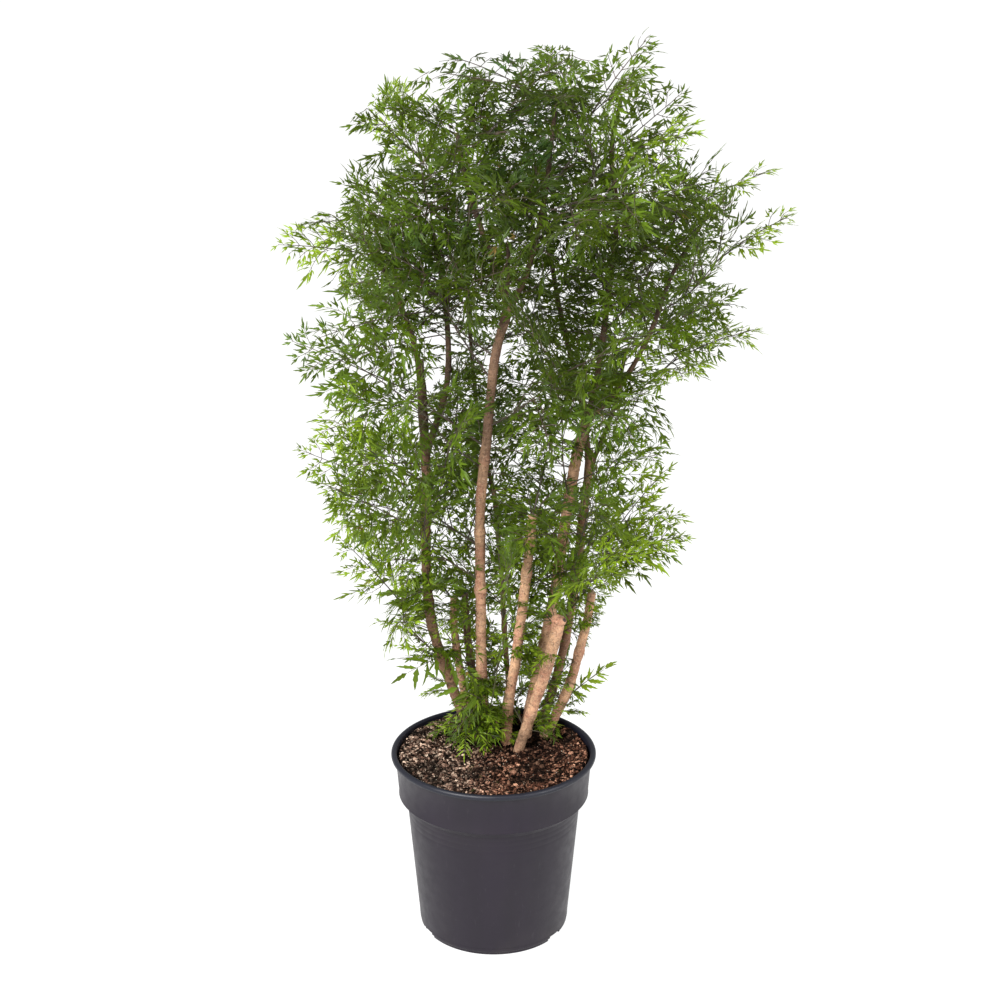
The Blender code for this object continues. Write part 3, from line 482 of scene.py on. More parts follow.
class SoilSettings(bpy.types.PropertyGroup):
    """Relief, crumbs and colours of the potting soil."""
    relief: length_setting("Relief", 0.005, "Height of the soil's lumps")
    crumbs: IntProperty(name="Crumbs", default=2300, min=0,
                        description="Number of bark and coir crumbs")
    grains: IntProperty(name="Grains", default=400, min=0,
                        description="Number of pale mineral grains")
    dark: colour_setting("Moist soil", (0.007, 0.004, 0.003), "Colour of moist soil")
    middle: colour_setting("Coir", (0.090, 0.050, 0.036), "Colour of coir and peat crumbs")
    pale: colour_setting("Dry bark", (0.300, 0.195, 0.145), "Colour of dry bark crumbs")
    dust: colour_setting("Pumice", (0.560, 0.440, 0.340), "Colour of the palest crumbs")


class BarkSettings(bpy.types.PropertyGroup):
    """Relief and colours of the canes' bark."""
    pale: colour_setting("Pale bark", (0.660, 0.390, 0.228), "Colour of the palest bark")
    # Brown is also the painted shade of canes and limbs inside the crown
    brown: colour_setting("Brown bark", (0.062, 0.038, 0.026),
                          "Colour of the darkest bark and limbs")
    relief: length_setting("Relief", 0.00055, "Height of the rings left by fallen leaves")


class FoliageSettings(bpy.types.PropertyGroup):
    """Density and colours of the leaves."""
    pinna_pairs: IntProperty(name="Pinna pairs", default=5, min=1,
                             description="Pairs of pinnae on a leaf")
    leaflet_pairs: IntProperty(name="Leaflet pairs", default=4, min=2,
                               description="Pairs of divided leaflets on a pinna")
    leaflet_length: length_setting("Leaflet length", 0.034,
                                   "Length of the longest leaflets, with the stalk")
    # Also the painted shade inside the crown
    old: colour_setting("Old leaf", (0.017, 0.034, 0.002),
                        "Colour of old leaves inside the crown")
    grown: colour_setting("Grown leaf", (0.056, 0.098, 0.006), "Colour of full-grown leaves")
    # Also the painted light at the crown's edge and top
    young: colour_setting("Young leaf", (0.186, 0.278, 0.016),
                          "Colour of young leaves at the tips")
    dry: colour_setting("Dry leaf", (0.150, 0.084, 0.028), "Colour of the few dry leaflets")
    stalk: colour_setting("Stalk", (0.030, 0.020, 0.014), "Colour of twigs and leaf stalks")
    seed: IntProperty(name="Seed", default=5, description="Seed of the leaves' variation")


class StageSettings(bpy.types.PropertyGroup):
    """Camera, floor and light."""
    eye: FloatVectorProperty(name="Camera", subtype="TRANSLATION", size=3, unit="LENGTH",
                             default=(0.010, -3.000, 1.783),
                             description="Place of the camera")
    pitch: FloatProperty(name="Pitch", default=math.radians(70.37), subtype="ANGLE",
                         description="Turn of the camera from straight down")
    lens: FloatProperty(name="Lens", default=76.57,
                        description="Focal length in millimetres")
    glow: FloatProperty(name="Floor glow", default=0.97,
                        description="Light that the white floor gives off")
    ambient: FloatProperty(name="Ambient light", default=0.50,
                           description="Strength of the light from all round")
    key: FloatProperty(name="Key light", default=240.0, subtype="POWER",
                       description="Power of the soft lamp above the plant")
    floor: colour_setting("Floor", (0.12, 0.12, 0.12), "Colour of the floor")


class Shading:
    """Short calls for the nodes of one material."""

    def __init__(self, name):
        self.material = bpy.data.materials.new(name)
        self.material.use_nodes = True
        self.tree = self.material.node_tree
        self.shader = self.tree.nodes["Principled BSDF"]
        self.output = self.tree.nodes["Material Output"]
        self.place = self.tree.nodes.new("ShaderNodeTexCoord").outputs["Object"]

    def node(self, kind, **settings):
        """A new node with its settings."""
        made = self.tree.nodes.new(kind)
        for name, value in settings.items():
            setattr(made, name, value)
        return made

    def join(self, source, socket):
        """Link an output, or set a plain value, on an input."""
        if isinstance(source, bpy.types.NodeSocket):
            self.tree.links.new(source, socket)
        else:
            socket.default_value = source

    def stretched(self, factors):
        """Object coordinates times a factor for each axis."""
        scaled = self.node("ShaderNodeVectorMath", operation="MULTIPLY")
        self.join(self.place, scaled.inputs[0])
        scaled.inputs[1].default_value = factors
        return scaled.outputs[0]

    def noise(self, scale, detail=3.0, roughness=0.55, factors=None):
        """Cloudy noise from 0 to 1."""
        made = self.node("ShaderNodeTexNoise")
        self.join(self.stretched(factors) if factors else self.place, made.inputs["Vector"])
        made.inputs["Scale"].default_value = scale
        made.inputs["Detail"].default_value = detail
        made.inputs["Roughness"].default_value = roughness
        return made.outputs["Fac"]

    def ramp(self, factor, low, high, bottom=0.0, top=1.0):
        """A factor spread from low and high to bottom and top, with soft ends."""
        made = self.node("ShaderNodeMapRange", interpolation_type="SMOOTHSTEP")
        for value, socket in zip((factor, low, high, bottom, top), made.inputs):
            self.join(value, socket)
        return made.outputs[0]

    def mix(self, factor, first, second, blend="MIX"):
        """Blend of two colours."""
        made = self.node("ShaderNodeMix", data_type="RGBA", blend_type=blend)
        self.join(factor, made.inputs[0])
        self.join((*first, 1.0) if isinstance(first, tuple) else first, made.inputs[6])
        self.join((*second, 1.0) if isinstance(second, tuple) else second, made.inputs[7])
        return made.outputs[2]

    def tinted(self, first, second):
        """Product of two colours."""
        return self.mix(1.0, first, second, "MULTIPLY")

    def split(self, vector, part):
        """One of the three parts of a vector or colour."""
        made = self.node("ShaderNodeSeparateXYZ")
        self.join(vector, made.inputs[0])
        return made.outputs[part]

    def stops(self, factor, *marks):
        """Colour read from marks of place and colour."""
        made = self.node("ShaderNodeValToRGB")
        ramp = made.color_ramp
        for place, _ in marks[2:]:
            ramp.elements.new(place)
        for element, (place, colour) in zip(ramp.elements, marks):
            element.position = place
            element.color = (*colour, 1.0)
        self.join(factor, made.inputs[0])
        return made.outputs[0]

    def maths(self, operation, first, second):
        """Result of a calculation with two values."""
        made = self.node("ShaderNodeMath", operation=operation)
        self.join(first, made.inputs[0])
        self.join(second, made.inputs[1])
        return made.outputs[0]

    def bump(self, height, distance, strength=1.0, under=None):
        """Surface relief from a height, on top of another one."""
        made = self.node("ShaderNodeBump")
        made.inputs["Strength"].default_value = strength
        made.inputs["Distance"].default_value = distance
        self.join(height, made.inputs["Height"])
        if under:
            self.join(under, made.inputs["Normal"])
        return made.outputs[0]

    def finish(self, colour, roughness, normal=None, shine=None):
        """Send colour, roughness, relief and strength of the mirror shine to the shader."""
        self.join(colour, self.shader.inputs["Base Color"])
        self.join(roughness, self.shader.inputs["Roughness"])
        if normal:
            self.join(normal, self.shader.inputs["Normal"])
        if shine is not None:
            self.shader.inputs["Specular IOR Level"].default_value = shine
        return self.material


def colour_of(value, factor=1.0):
    """A colour setting as a tuple, made lighter or darker."""
    return tuple(min(1.0, channel * factor) for channel in value)


def pot_plastic(settings):
    """Satin anthracite plastic with faint streaks, dust low down, a painted bluish sheen on the rim
    and a fine grain.
    """
    shade = Shading("pot_plastic")
    colour = colour_of(settings.colour)
    streaks = shade.ramp(shade.noise(26.0, factors=(1.0, 1.0, 0.10)), 0.35, 0.70)
    body = shade.mix(streaks, colour, colour_of(colour, 1.22))
    cloud = shade.ramp(shade.noise(9.0, 5.0), 0.45, 0.75)
    low = shade.ramp(shade.split(shade.place, 2), 0.0, 0.045, 1.0, 0.0)
    dust = shade.maths("MULTIPLY", cloud, shade.maths("ADD", low, 0.12))
    body = shade.mix(shade.maths("MULTIPLY", dust, 0.30), body, POT_DUST)
    scuffs = shade.ramp(shade.noise(170.0, 4.0, factors=(1.0, 1.0, 0.25)), 0.62, 0.72)
    body = shade.mix(shade.maths("MULTIPLY", scuffs, 0.06), body, POT_SCUFF)
    # Painted sheen: the rim is tinted bluish where it catches the light
    rim = shade.ramp(shade.split(shade.place, 2), PAINTED_SHEEN_HEIGHT, PAINTED_SHEEN_HEIGHT + 0.004,
                     0.0, 0.8)
    body = shade.mix(rim, body, PAINTED_RIM_SHEEN)
    roughness = shade.ramp(shade.noise(60.0, 4.0), 0.3, 0.7, 0.40, 0.50)
    grain = shade.bump(shade.noise(2600.0, 2.0), 0.00006, 0.35)
    waves = shade.bump(shade.noise(34.0, 2.0), 0.0006, 0.25, grain)
    return shade.finish(body, roughness, waves, POT_SHINE)


def soil_material(name, settings, loose):
    """Crumbly soil, each crumb in its own shade, greyer on the left and redder on the right;
    painted shade darkens it between clumps, between the bed's crumbs and in the hollow between the
    canes.
    """
    shade = Shading(name)
    if loose:
        tone = shade.node("ShaderNodeNewGeometry").outputs["Random Per Island"]
    else:
        crumbs = shade.node("ShaderNodeTexVoronoi")
        shade.join(shade.place, crumbs.inputs["Vector"])
        crumbs.inputs["Scale"].default_value = 210.0
        tone = shade.split(crumbs.outputs["Color"], 0)
        # Painted shade in the gaps between the bed's crumbs
        gap_shade = shade.ramp(crumbs.outputs["Distance"], 0.30, 0.75, 1.0, 0.10)
    cloud = shade.noise(520.0, 4.0, 0.65)
    tone = shade.maths("ADD", tone, shade.ramp(cloud, 0.25, 0.75, -0.16, 0.16))
    side = shade.ramp(shade.split(shade.place, 0), -0.06, 0.02)
    tone = shade.maths("SUBTRACT", tone, shade.maths("MULTIPLY", side, 0.10))
    body = shade.stops(tone, (0.10, settings.dark), (0.50, settings.middle),
                       (0.78, settings.pale), (1.0, settings.dust))
    body = shade.tinted(body, shade.mix(side, SOIL_TINT_LEFT, SOIL_TINT_RIGHT))
    # Painted shade and light of clumps: a cloudy pattern that darkens some places and lightens
    # others
    clump_shade = shade.ramp(shade.noise(95.0, 3.0), 0.38, 0.60, 0.42, 1.32)
    body = shade.tinted(body, clump_shade)
    # Dark patches, partly moist soil and partly painted shade between clumps
    damp_and_shade = shade.ramp(shade.noise(19.0, 3.0), 0.48, 0.60, 0.0, 0.80)
    body = shade.mix(damp_and_shade, body, DAMP_AND_SHADED_SOIL)
    # Painted shade: the soil darkens towards the hollow between the canes, under the crown
    near = shade.node("ShaderNodeVectorMath", operation="DISTANCE")
    shade.join(shade.place, near.inputs[0])
    near.inputs[1].default_value = (*HOLLOW_MIDDLE, SOIL_TOP)
    hollow = shade.ramp(near.outputs["Value"], 0.025, 0.085, 0.22, 1.0)
    body = shade.tinted(body, hollow)
    moss = shade.ramp(shade.noise(42.0, 4.0), 0.66, 0.74, 0.0, 0.45)
    body = shade.mix(moss, body, MOSS)
    relief = shade.bump(cloud, 0.0012, 0.8)
    # On the bed the painted gap shade darkens the colour, and the same gaps give relief
    if not loose:
        body = shade.tinted(body, gap_shade)
        relief = shade.bump(gap_shade, 0.0016, 0.9, relief)
    return shade.finish(body, shade.ramp(cloud, 0.3, 0.7, 0.80, 1.0), relief, SOIL_SHINE)


def bark_material(settings):
    """Corky bark from pale tan to dark brown, as the mesh's attribute says: partly the bark's own
    colour, partly painted shade inside the crown and near the soil.
    """
    shade = Shading("aralia_bark")
    age_and_shade = shade.node("ShaderNodeAttribute", attribute_name="age_and_shade").outputs["Fac"]
    pale, brown = colour_of(settings.pale), colour_of(settings.brown)
    blotch = shade.ramp(shade.noise(64.0, 5.0, 0.65), 0.34, 0.66)
    light = shade.mix(blotch, colour_of(pale, 0.58), pale)
    rosy = shade.ramp(shade.noise(30.0, 3.0), 0.42, 0.64, 0.05, 0.75)
    light = shade.mix(rosy, light, ROSY_BARK)
    dark = shade.mix(blotch, colour_of(brown, 0.40), colour_of(brown, 1.05))
    body = shade.mix(age_and_shade, light, dark)
    ring = shade.noise(190.0, 4.0, 0.65, factors=(0.40, 0.40, 1.5))
    line = shade.ramp(ring, 0.54, 0.62, 0.0, 0.45)
    body = shade.mix(line, body, shade.mix(age_and_shade, RING_BARK, colour_of(brown, 0.8)))
    flake = shade.ramp(shade.noise(430.0, 4.0, 0.7), 0.54, 0.62, 0.0, 0.55)
    pale_flake = shade.mix(age_and_shade, FLAKE_BARK, colour_of(brown, 1.9))
    body = shade.mix(flake, body, pale_flake)
    pit = shade.ramp(shade.noise(360.0, 5.0, 0.75, factors=(1.0, 1.0, 0.7)), 0.55, 0.62, 0.0, 0.62)
    body = shade.mix(pit, body, PIT_BARK)
    relief = shade.bump(ring, 0.0014, 0.8)
    relief = shade.bump(pit, -0.0010, 0.8, relief)
    relief = shade.bump(flake, 0.0006, 0.7, relief)
    return shade.finish(body, shade.ramp(blotch, 0.0, 1.0, 0.74, 0.90), relief, BARK_SHINE)


def cut_wood(name, dark, pale):
    """Weathered end grain of the cut tops."""
    shade = Shading(name)
    grain = shade.noise(320.0, 4.0)
    body = shade.mix(shade.ramp(grain, 0.35, 0.65), dark, pale)
    return shade.finish(body, 0.85, shade.bump(grain, 0.0008, 0.6))


def stalk_material(name, colour, other):
    """Thin woody stalks, blended with a second colour in patches."""
    shade = Shading(name)
    patch = shade.ramp(shade.noise(38.0, 2.0), 0.35, 0.65)
    body = shade.mix(patch, colour_of(colour), colour_of(other))
    return shade.finish(body, shade.ramp(shade.noise(300.0), 0.3, 0.7, 0.42, 0.60))


def leaf_material(name, colour, cool, light_through):
    """Leaf with a soft gloss that lets some light through, each leaflet in its own shade."""
    shade = Shading(name)
    island = shade.node("ShaderNodeNewGeometry").outputs["Random Per Island"]
    spray_shade = shade.ramp(shade.noise(11.0, 2.0), 0.30, 0.70)
    base = shade.mix(spray_shade, colour_of(colour, 0.78), colour_of(colour, 1.18))
    blue = shade.ramp(shade.noise(7.0, 3.0), 0.52, 0.72, 0.0, cool)
    base = shade.mix(blue, base, COOL_LEAF)
    tone = shade.ramp(island, 0.0, 1.0, 0.60, 1.45)
    lit = shade.tinted(base, tone)
    mottle = shade.ramp(shade.noise(900.0, 3.0), 0.40, 0.70, 0.0, 0.22)
    lit = shade.mix(mottle, lit, LEAF_MOTTLE)
    gloss = shade.ramp(shade.noise(260.0, 2.0), 0.3, 0.7, 0.36, 0.55)
    shade.finish(lit, gloss, shine=LEAF_SHINE)
    through = shade.node("ShaderNodeBsdfTranslucent")
    shade.join(shade.mix(0.45, lit, LEAF_GLOW), through.inputs["Color"])
    both = shade.node("ShaderNodeMixShader")
    both.inputs[0].default_value = light_through
    shade.join(shade.shader.outputs[0], both.inputs[1])
    shade.join(through.outputs[0], both.inputs[2])
    shade.join(both.outputs[0], shade.output.inputs["Surface"])
    return shade.material


def show(obj, *materials):
    """Put an object in the scene with its materials."""
    for material in materials:
        obj.data.materials.append(material)
    bpy.context.scene.collection.objects.link(obj)
    return obj


def mesh_object(name, points, faces, material_index=None, smooth=True):
    """Object from arrays of points and of triangles or quads of one kind."""
    mesh = bpy.data.meshes.new(name)
    corners = faces.shape[1]
    mesh.vertices.add(len(points))
    mesh.vertices.foreach_set("co", np.asarray(points, np.float32).ravel())
    mesh.loops.add(faces.size)
    mesh.loops.foreach_set("vertex_index", np.asarray(faces, np.int32).ravel())
    mesh.polygons.add(len(faces))
    mesh.polygons.foreach_set("loop_start", np.arange(0, faces.size, corners, dtype=np.int32))
    if material_index is not None:
        mesh.polygons.foreach_set("material_index", np.asarray(material_index, np.int32))
    flags = np.broadcast_to(np.asarray(smooth, bool), (len(faces),))
    mesh.polygons.foreach_set("use_smooth", np.ascontiguousarray(flags))
    mesh.update(calc_edges=True)
    return bpy.data.objects.new(name, mesh)


def smooth_path(points, step):
    """Points about one step apart on a smooth curve through the given ones."""
    points = [Vector(p) for p in points]
    ends = [points[0] * 2 - points[1]] + points + [points[-1] * 2 - points[-2]]
    path = [points[0]]
    for a, b, c, d in zip(ends, ends[1:], ends[2:], ends[3:]):
        count = max(1, round((c - b).length / step))
        for i in range(1, count + 1):
            t = i / count
            path.append(0.5 * (2 * b + (c - a) * t + (2 * a - 5 * b + 4 * c - d) * t * t
                               + (3 * b - a - 3 * c + d) * t ** 3))
    return path


def tube_rings(path, sides):
    """Middle points and the unit circle directions of a tube along a path."""
    side = UP.cross(path[1] - path[0])
    if side.length < 1e-6:
        side = Vector((1.0, 0.0, 0.0))
    rings = []
    for i, centre in enumerate(path):
        tangent = (path[min(i + 1, len(path) - 1)] - path[max(i - 1, 0)]).normalized()
        side = (side - tangent * side.dot(tangent)).normalized()
        lift = tangent.cross(side)
        ring = [side * math.cos(2 * math.pi * k / sides) + lift * math.sin(2 * math.pi * k / sides)
                for k in range(sides)]
        rings.append((centre, ring))
    return rings


def tube_faces(rings, sides, first=0):
    """Triangles of an open tube."""
    faces = []
    for i in range(rings - 1):
        for k in range(sides):
            a = first + i * sides + k
            b = first + i * sides + (k + 1) % sides
            faces += [(a, b, b + sides), (a, b + sides, a + sides)]
    return faces


def thin_tube(path, radii, sides):
    """Points and triangles of a thin tube that ends in a point."""
    points = []
    for (centre, ring), radius in zip(tube_rings(path, sides), radii):
        points += [centre + way * radius for way in ring]
    faces = tube_faces(len(path), sides)
    tip = len(points)
    points.append(path[-1] + (path[-1] - path[-2]).normalized() * radii[-1])
    last = tip - sides
    faces += [(last + k, last + (k + 1) % sides, tip) for k in range(sides)]
    return points, faces


def body_radius(height):
    """Outer radius of the tapered body at a height."""
    heights, radii = (FOOT_HEIGHT, BODY_TOP), (BODY_BOTTOM_RADIUS, BODY_TOP_RADIUS)
    return float(np.interp(height, heights, radii))


def wall_inner_radius(height, wall):
    """Inner radius of the pot's wall at a height."""
    heights = (FOOT_HEIGHT, BODY_TOP, COLLAR_BOTTOM, COLLAR_TOP)
    radii = (BODY_BOTTOM_RADIUS, BODY_TOP_RADIUS, COLLAR_BOTTOM_RADIUS, COLLAR_TOP_RADIUS)
    return float(np.interp(height, heights, radii)) - wall


def arc(centre, radius, start, end, count):
    """Points of an arc in the profile plane, angles in degrees from the outward way."""
    turns = np.radians(np.linspace(start, end, count))
    return [(centre[0] + radius * math.cos(t), centre[1] + radius * math.sin(t)) for t in turns]


def pot_profile(pot):
    """Profile of the whole pot from the middle of its underside to the middle of its floor."""
    top, rim, wall = pot.height, pot.rim_radius, pot.wall
    floor = FOOT_HEIGHT + FLOOR_THICKNESS
    inside = [(wall_inner_radius(h, wall), h) for h in (COLLAR_TOP, COLLAR_BOTTOM, BODY_TOP)]
    outer = [(0.0, 0.0), (PAD_RADIUS, 0.0), (PAD_RADIUS + 0.003, FOOT_HEIGHT),
             (FOOT_RADIUS - 0.007, FOOT_HEIGHT), (FOOT_RADIUS - 0.005, 0.0006),
             (FOOT_RADIUS - 0.0044, 0.0), (FOOT_RADIUS - 0.0006, 0.0), (FOOT_RADIUS, 0.0006),
             (FOOT_RADIUS + 0.0005, FOOT_HEIGHT)]
    outer += arc((BODY_BOTTOM_RADIUS - 0.0022, FOOT_HEIGHT + 0.0022), 0.0022, -80, 0, 4)
    outer += [(BODY_BOTTOM_RADIUS + 0.0003, FOOT_SEAM - 0.0008),
              (BODY_BOTTOM_RADIUS + 0.0001, FOOT_SEAM),
              (BODY_BOTTOM_RADIUS + 0.0011, FOOT_SEAM + 0.0005)]
    outer += [(body_radius(h), h) for h in np.linspace(0.022, MOULDING_LINES[0] - 0.006, 8)]
    for line in MOULDING_LINES:
        outer += [(body_radius(line - 0.0010), line - 0.0010), (body_radius(line) - 0.0002, line),
                  (body_radius(line + 0.0010), line + 0.0010)]
    outer += [(BODY_TOP_RADIUS, BODY_TOP), *SHOULDER, (COLLAR_BOTTOM_RADIUS, COLLAR_BOTTOM)]
    outer += [(COLLAR_TOP_RADIUS - 0.0003, COLLAR_TOP - 0.0020),
              (COLLAR_TOP_RADIUS + 0.0006, COLLAR_TOP - 0.0004)]
    lip = (rim - LIP_RADIUS, top - LIP_RADIUS)
    outer += [(lip[0] - 0.0010, lip[1] - LIP_RADIUS)] + arc(lip, LIP_RADIUS, -70, 150, 14)
    return outer + inside + [(wall_inner_radius(floor, wall), floor), (0.0, floor)]


def spin_profile(name, profile, segments):
    """Closed object turned round Z from a profile that starts and ends on it."""
    bm = bmesh.new()
    points = [bm.verts.new((radius, 0.0, height)) for radius, height in profile]
    for a, b in zip(points, points[1:]):
        bm.edges.new((a, b))
    bmesh.ops.spin(bm, geom=bm.verts[:] + bm.edges[:], cent=(0, 0, 0), axis=(0, 0, 1),
                   angle=2 * math.pi, steps=segments, use_duplicate=False)
    bmesh.ops.remove_doubles(bm, verts=bm.verts, dist=0.00002)
    bmesh.ops.recalc_face_normals(bm, faces=bm.faces)
    mesh = bpy.data.meshes.new(name)
    bm.to_mesh(mesh)
    bm.free()
    return bpy.data.objects.new(name, mesh)


def cut_away(obj, cutters):
    """Cut closed shapes out of an object and remove them."""
    group = bpy.data.collections.new("cutters")
    for cutter in cutters:
        group.objects.link(cutter)
    modifier = obj.modifiers.new("cut", "BOOLEAN")
    modifier.operation = "DIFFERENCE"
    modifier.operand_type = "COLLECTION"
    modifier.collection = group
    mesh = bpy.data.meshes.new_from_object(
        obj.evaluated_get(bpy.context.evaluated_depsgraph_get()))
    obj.modifiers.clear()
    obj.data = mesh
    for cutter in cutters:
        bpy.data.objects.remove(cutter)
    bpy.data.collections.remove(group)


def block(name, corners):
    """Closed block from its four lower and four upper corners."""
    mesh = bpy.data.meshes.new(name)
    faces = [(3, 2, 1, 0), (4, 5, 6, 7), (0, 1, 5, 4), (1, 2, 6, 5), (2, 3, 7, 6), (3, 0, 4, 7)]
    mesh.from_pydata(corners, [], faces)
    return bpy.data.objects.new(name, mesh)


def foot_cutters():
    """Blocks for the notches and columns for the drain holes."""
    cutters = []
    for middle, width in FOOT_NOTCHES:
        corners = []
        for height, depth in ((-0.010, -0.022), (NOTCH_HEIGHT, 0.0026)):
            for radius, turn in ((depth, -0.5), (0.009, -0.5), (0.009, 0.5), (depth, 0.5)):
                way = math.radians(middle + turn * width)
                reach = FOOT_RADIUS + radius
                corners.append((reach * math.sin(way), -reach * math.cos(way), height))
        cutters.append(block("notch", corners))
    for k in range(DRAIN_HOLES):
        way = 2 * math.pi * (k + 0.5) / DRAIN_HOLES
        bm = bmesh.new()
        x, y = DRAIN_CIRCLE * math.cos(way), DRAIN_CIRCLE * math.sin(way)
        place = Matrix.Translation((x, y, 0.005))
        bmesh.ops.create_cone(bm, cap_ends=True, segments=20, radius1=DRAIN_RADIUS,
                              radius2=DRAIN_RADIUS, depth=0.03, matrix=place)
        mesh = bpy.data.meshes.new("drain")
        bm.to_mesh(mesh)
        bm.free()
        cutters.append(bpy.data.objects.new("drain", mesh))
    return cutters


class ARALIA_OT_pot(bpy.types.Operator):
    """Make the nursery pot with its rolled rim, collar, foot notches and drain holes"""
    bl_idname = "aralia.pot"
    bl_label = "Pot"

    def execute(self, context):
        pot = context.scene.aralia_pot
        obj = spin_profile("nursery_pot", pot_profile(pot), pot.segments)
        bpy.context.scene.collection.objects.link(obj)
        cut_away(obj, foot_cutters())
        obj.data.materials.clear()
        obj.data.materials.append(pot_plastic(pot))
        obj.data.shade_smooth()
        obj.data.set_sharp_from_angle(angle=math.radians(32))
        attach(obj, "root")
        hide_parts("pot")
        return {"FINISHED"}


def soil_level(x, y, relief):
    """Height of the lumpy soil at a place."""
    coarse = noise(Vector((x, y, 0.3)) * 22.0)
    fine = noise(Vector((x, y, 1.7)) * 60.0)
    crumbly = noise(Vector((x, y, 2.9)) * 190.0)
    out = max(0.0, math.hypot(x, y) / SOIL_EDGE - BANK_START) / (1 - BANK_START)
    bank = SOIL_BANK * out * out * (3 - 2 * out)
    away = math.hypot(x - HOLLOW_MIDDLE[0], y - HOLLOW_MIDDLE[1]) / HOLLOW_REACH
    hollow = SOIL_HOLLOW * math.exp(-away * away)
    return SOIL_TOP + bank - hollow + relief * (coarse + 0.6 * fine + 0.35 * crumbly)


def soil_bed(soil, wall):
    """The body of soil, with its lumpy top."""
    sides = SOIL_SIDES
    profile = [(SOIL_EDGE * k / SOIL_RINGS, None) for k in range(1, SOIL_RINGS + 1)]
    profile += [(wall_inner_radius(h, wall) - SOIL_CLEARANCE, h)
                for h in (COLLAR_BOTTOM, BODY_TOP, SOIL_BOTTOM)]
    points = [(0.0, 0.0, soil_level(0.0, 0.0, soil.relief))]
    for radius, height in profile:
        for k in range(sides):
            x = radius * math.cos(2 * math.pi * k / sides)
            y = radius * math.sin(2 * math.pi * k / sides)
            points.append((x, y, soil_level(x, y, soil.relief) if height is None else height))
    faces = [(0, 1 + k, 1 + (k + 1) % sides) for k in range(sides)]
    faces += [(a, c, b) for a, b, c in tube_faces(len(profile), sides, 1)]
    last = 1 + (len(profile) - 1) * sides
    faces += [(last, last + k + 1, last + k) for k in range(1, sides - 1)]
    return mesh_object("soil_bed", np.array(points), np.array(faces))


def rock_shapes(count, rng):
    """Unit lumps of different outlines, each from a small sphere."""
    shapes = []
    for _ in range(count):
        bm = bmesh.new()
        bmesh.ops.create_icosphere(bm, subdivisions=1, radius=1.0)
        shift = Vector((rng.uniform(0, 50), rng.uniform(0, 50), rng.uniform(0, 50)))
        for vert in bm.verts:
            vert.co *= 1.0 + 0.55 * noise(vert.co * 1.4 + shift)
        points = np.array([v.co[:] for v in bm.verts])
        faces = np.array([[v.index for v in f.verts] for f in bm.faces])
        bm.free()
        shapes.append((points, faces))
    return shapes


def scatter(name, shapes, places):
    """One object of many lumps; a place is a 4 x 4 matrix."""
    points, faces, first = [], [], 0
    for number, place in enumerate(places):
        shape_points, shape_faces = shapes[number % len(shapes)]
        matrix = np.array(place)
        points.append(shape_points @ matrix[:3, :3].T + matrix[:3, 3])
        faces.append(shape_faces + first)
        first += len(shape_points)
    return mesh_object(name, np.concatenate(points), np.concatenate(faces), smooth=False)


def on_soil(rng, soil, sizes, flat, sunk):
    """Random place of a crumb on the soil, clear of the pot's wall, as a matrix."""
    size = rng.uniform(*sizes) * rng.uniform(0.6, 1.0)
    reach = (SOIL_EDGE - size) * math.sqrt(rng.random())
    turn = rng.uniform(0, 2 * math.pi)
    x, y = reach * math.cos(turn), reach * math.sin(turn)
    level = soil_level(x, y, soil.relief) + size * flat * sunk
    spin = Matrix.Rotation(rng.uniform(0, 2 * math.pi), 4, "Z")
    tilt = Matrix.Rotation(rng.gauss(0, 0.55), 4, "X") @ Matrix.Rotation(rng.gauss(0, 0.45), 4, "Y")
    shape = Matrix.Diagonal((size, size * rng.uniform(0.40, 0.90), size * flat, 1.0))
    return Matrix.Translation((x, y, level)) @ spin @ tilt @ shape


class ARALIA_OT_soil(bpy.types.Operator):
    """Make the potting soil: its bed, bark and coir crumbs and pale grains"""
    bl_idname = "aralia.soil"
    bl_label = "Soil"

    def execute(self, context):
        soil = context.scene.aralia_soil
        rng = random.Random(23)
        bed = show(soil_bed(soil, context.scene.aralia_pot.wall),
                   soil_material("potting_soil", soil, False))
        crumb_material = soil_material("bark_crumbs", soil, True)
        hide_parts("soil")
        lumps = rock_shapes(14, rng)
        large = [on_soil(rng, soil, *CHUNKS) for _ in range(soil.crumbs // CRUMBS_TO_A_CHUNK)]
        chunks = show(scatter("bark_chunks", lumps, large), crumb_material)
        small_shapes = rock_shapes(20, rng)
        small = [on_soil(rng, soil, *CRUMBS) for _ in range(soil.crumbs)]
        crumbs = show(scatter("soil_crumbs", small_shapes, small), crumb_material)
        pale = Shading("mineral_grains")
        tone = pale.ramp(pale.noise(300.0), 0.35, 0.65)
        grain = pale.finish(pale.mix(tone, *GRAIN_TONES), 0.8)
        dots = [on_soil(rng, soil, *GRAINS) for _ in range(soil.grains)]
        grains = show(scatter("mineral_grains", small_shapes, dots), grain)
        for piece in (bed, chunks, crumbs, grains):
            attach(piece, "root")
        return {"FINISHED"}


def clamped(value):
    """A value kept from 0 to 1."""
    return max(0.0, min(1.0, value))


def tapered(start, end, count):
    """A number of values that go evenly from start to end."""
    return [start + (end - start) * i / (count - 1) for i in range(count)]


def cane_line(name, step):
    """Middle line of a cane from its foot in the soil to its top."""
    points = [Vector(p) for p in CANES[name][3]]
    lean = ((points[1] - points[0]).normalized() + UP).normalized()
    foot = points[0] + lean * ((CANE_FOOT - points[0].z) / lean.z)
    return smooth_path([foot] + points, step)


def ring_marks(length, rng):
    """Distances of the leaf scars along a cane."""
    marks, at = [], 0.0
    while at < length:
        at += rng.uniform(*RING_SPACING)
        marks.append(at)
    return marks


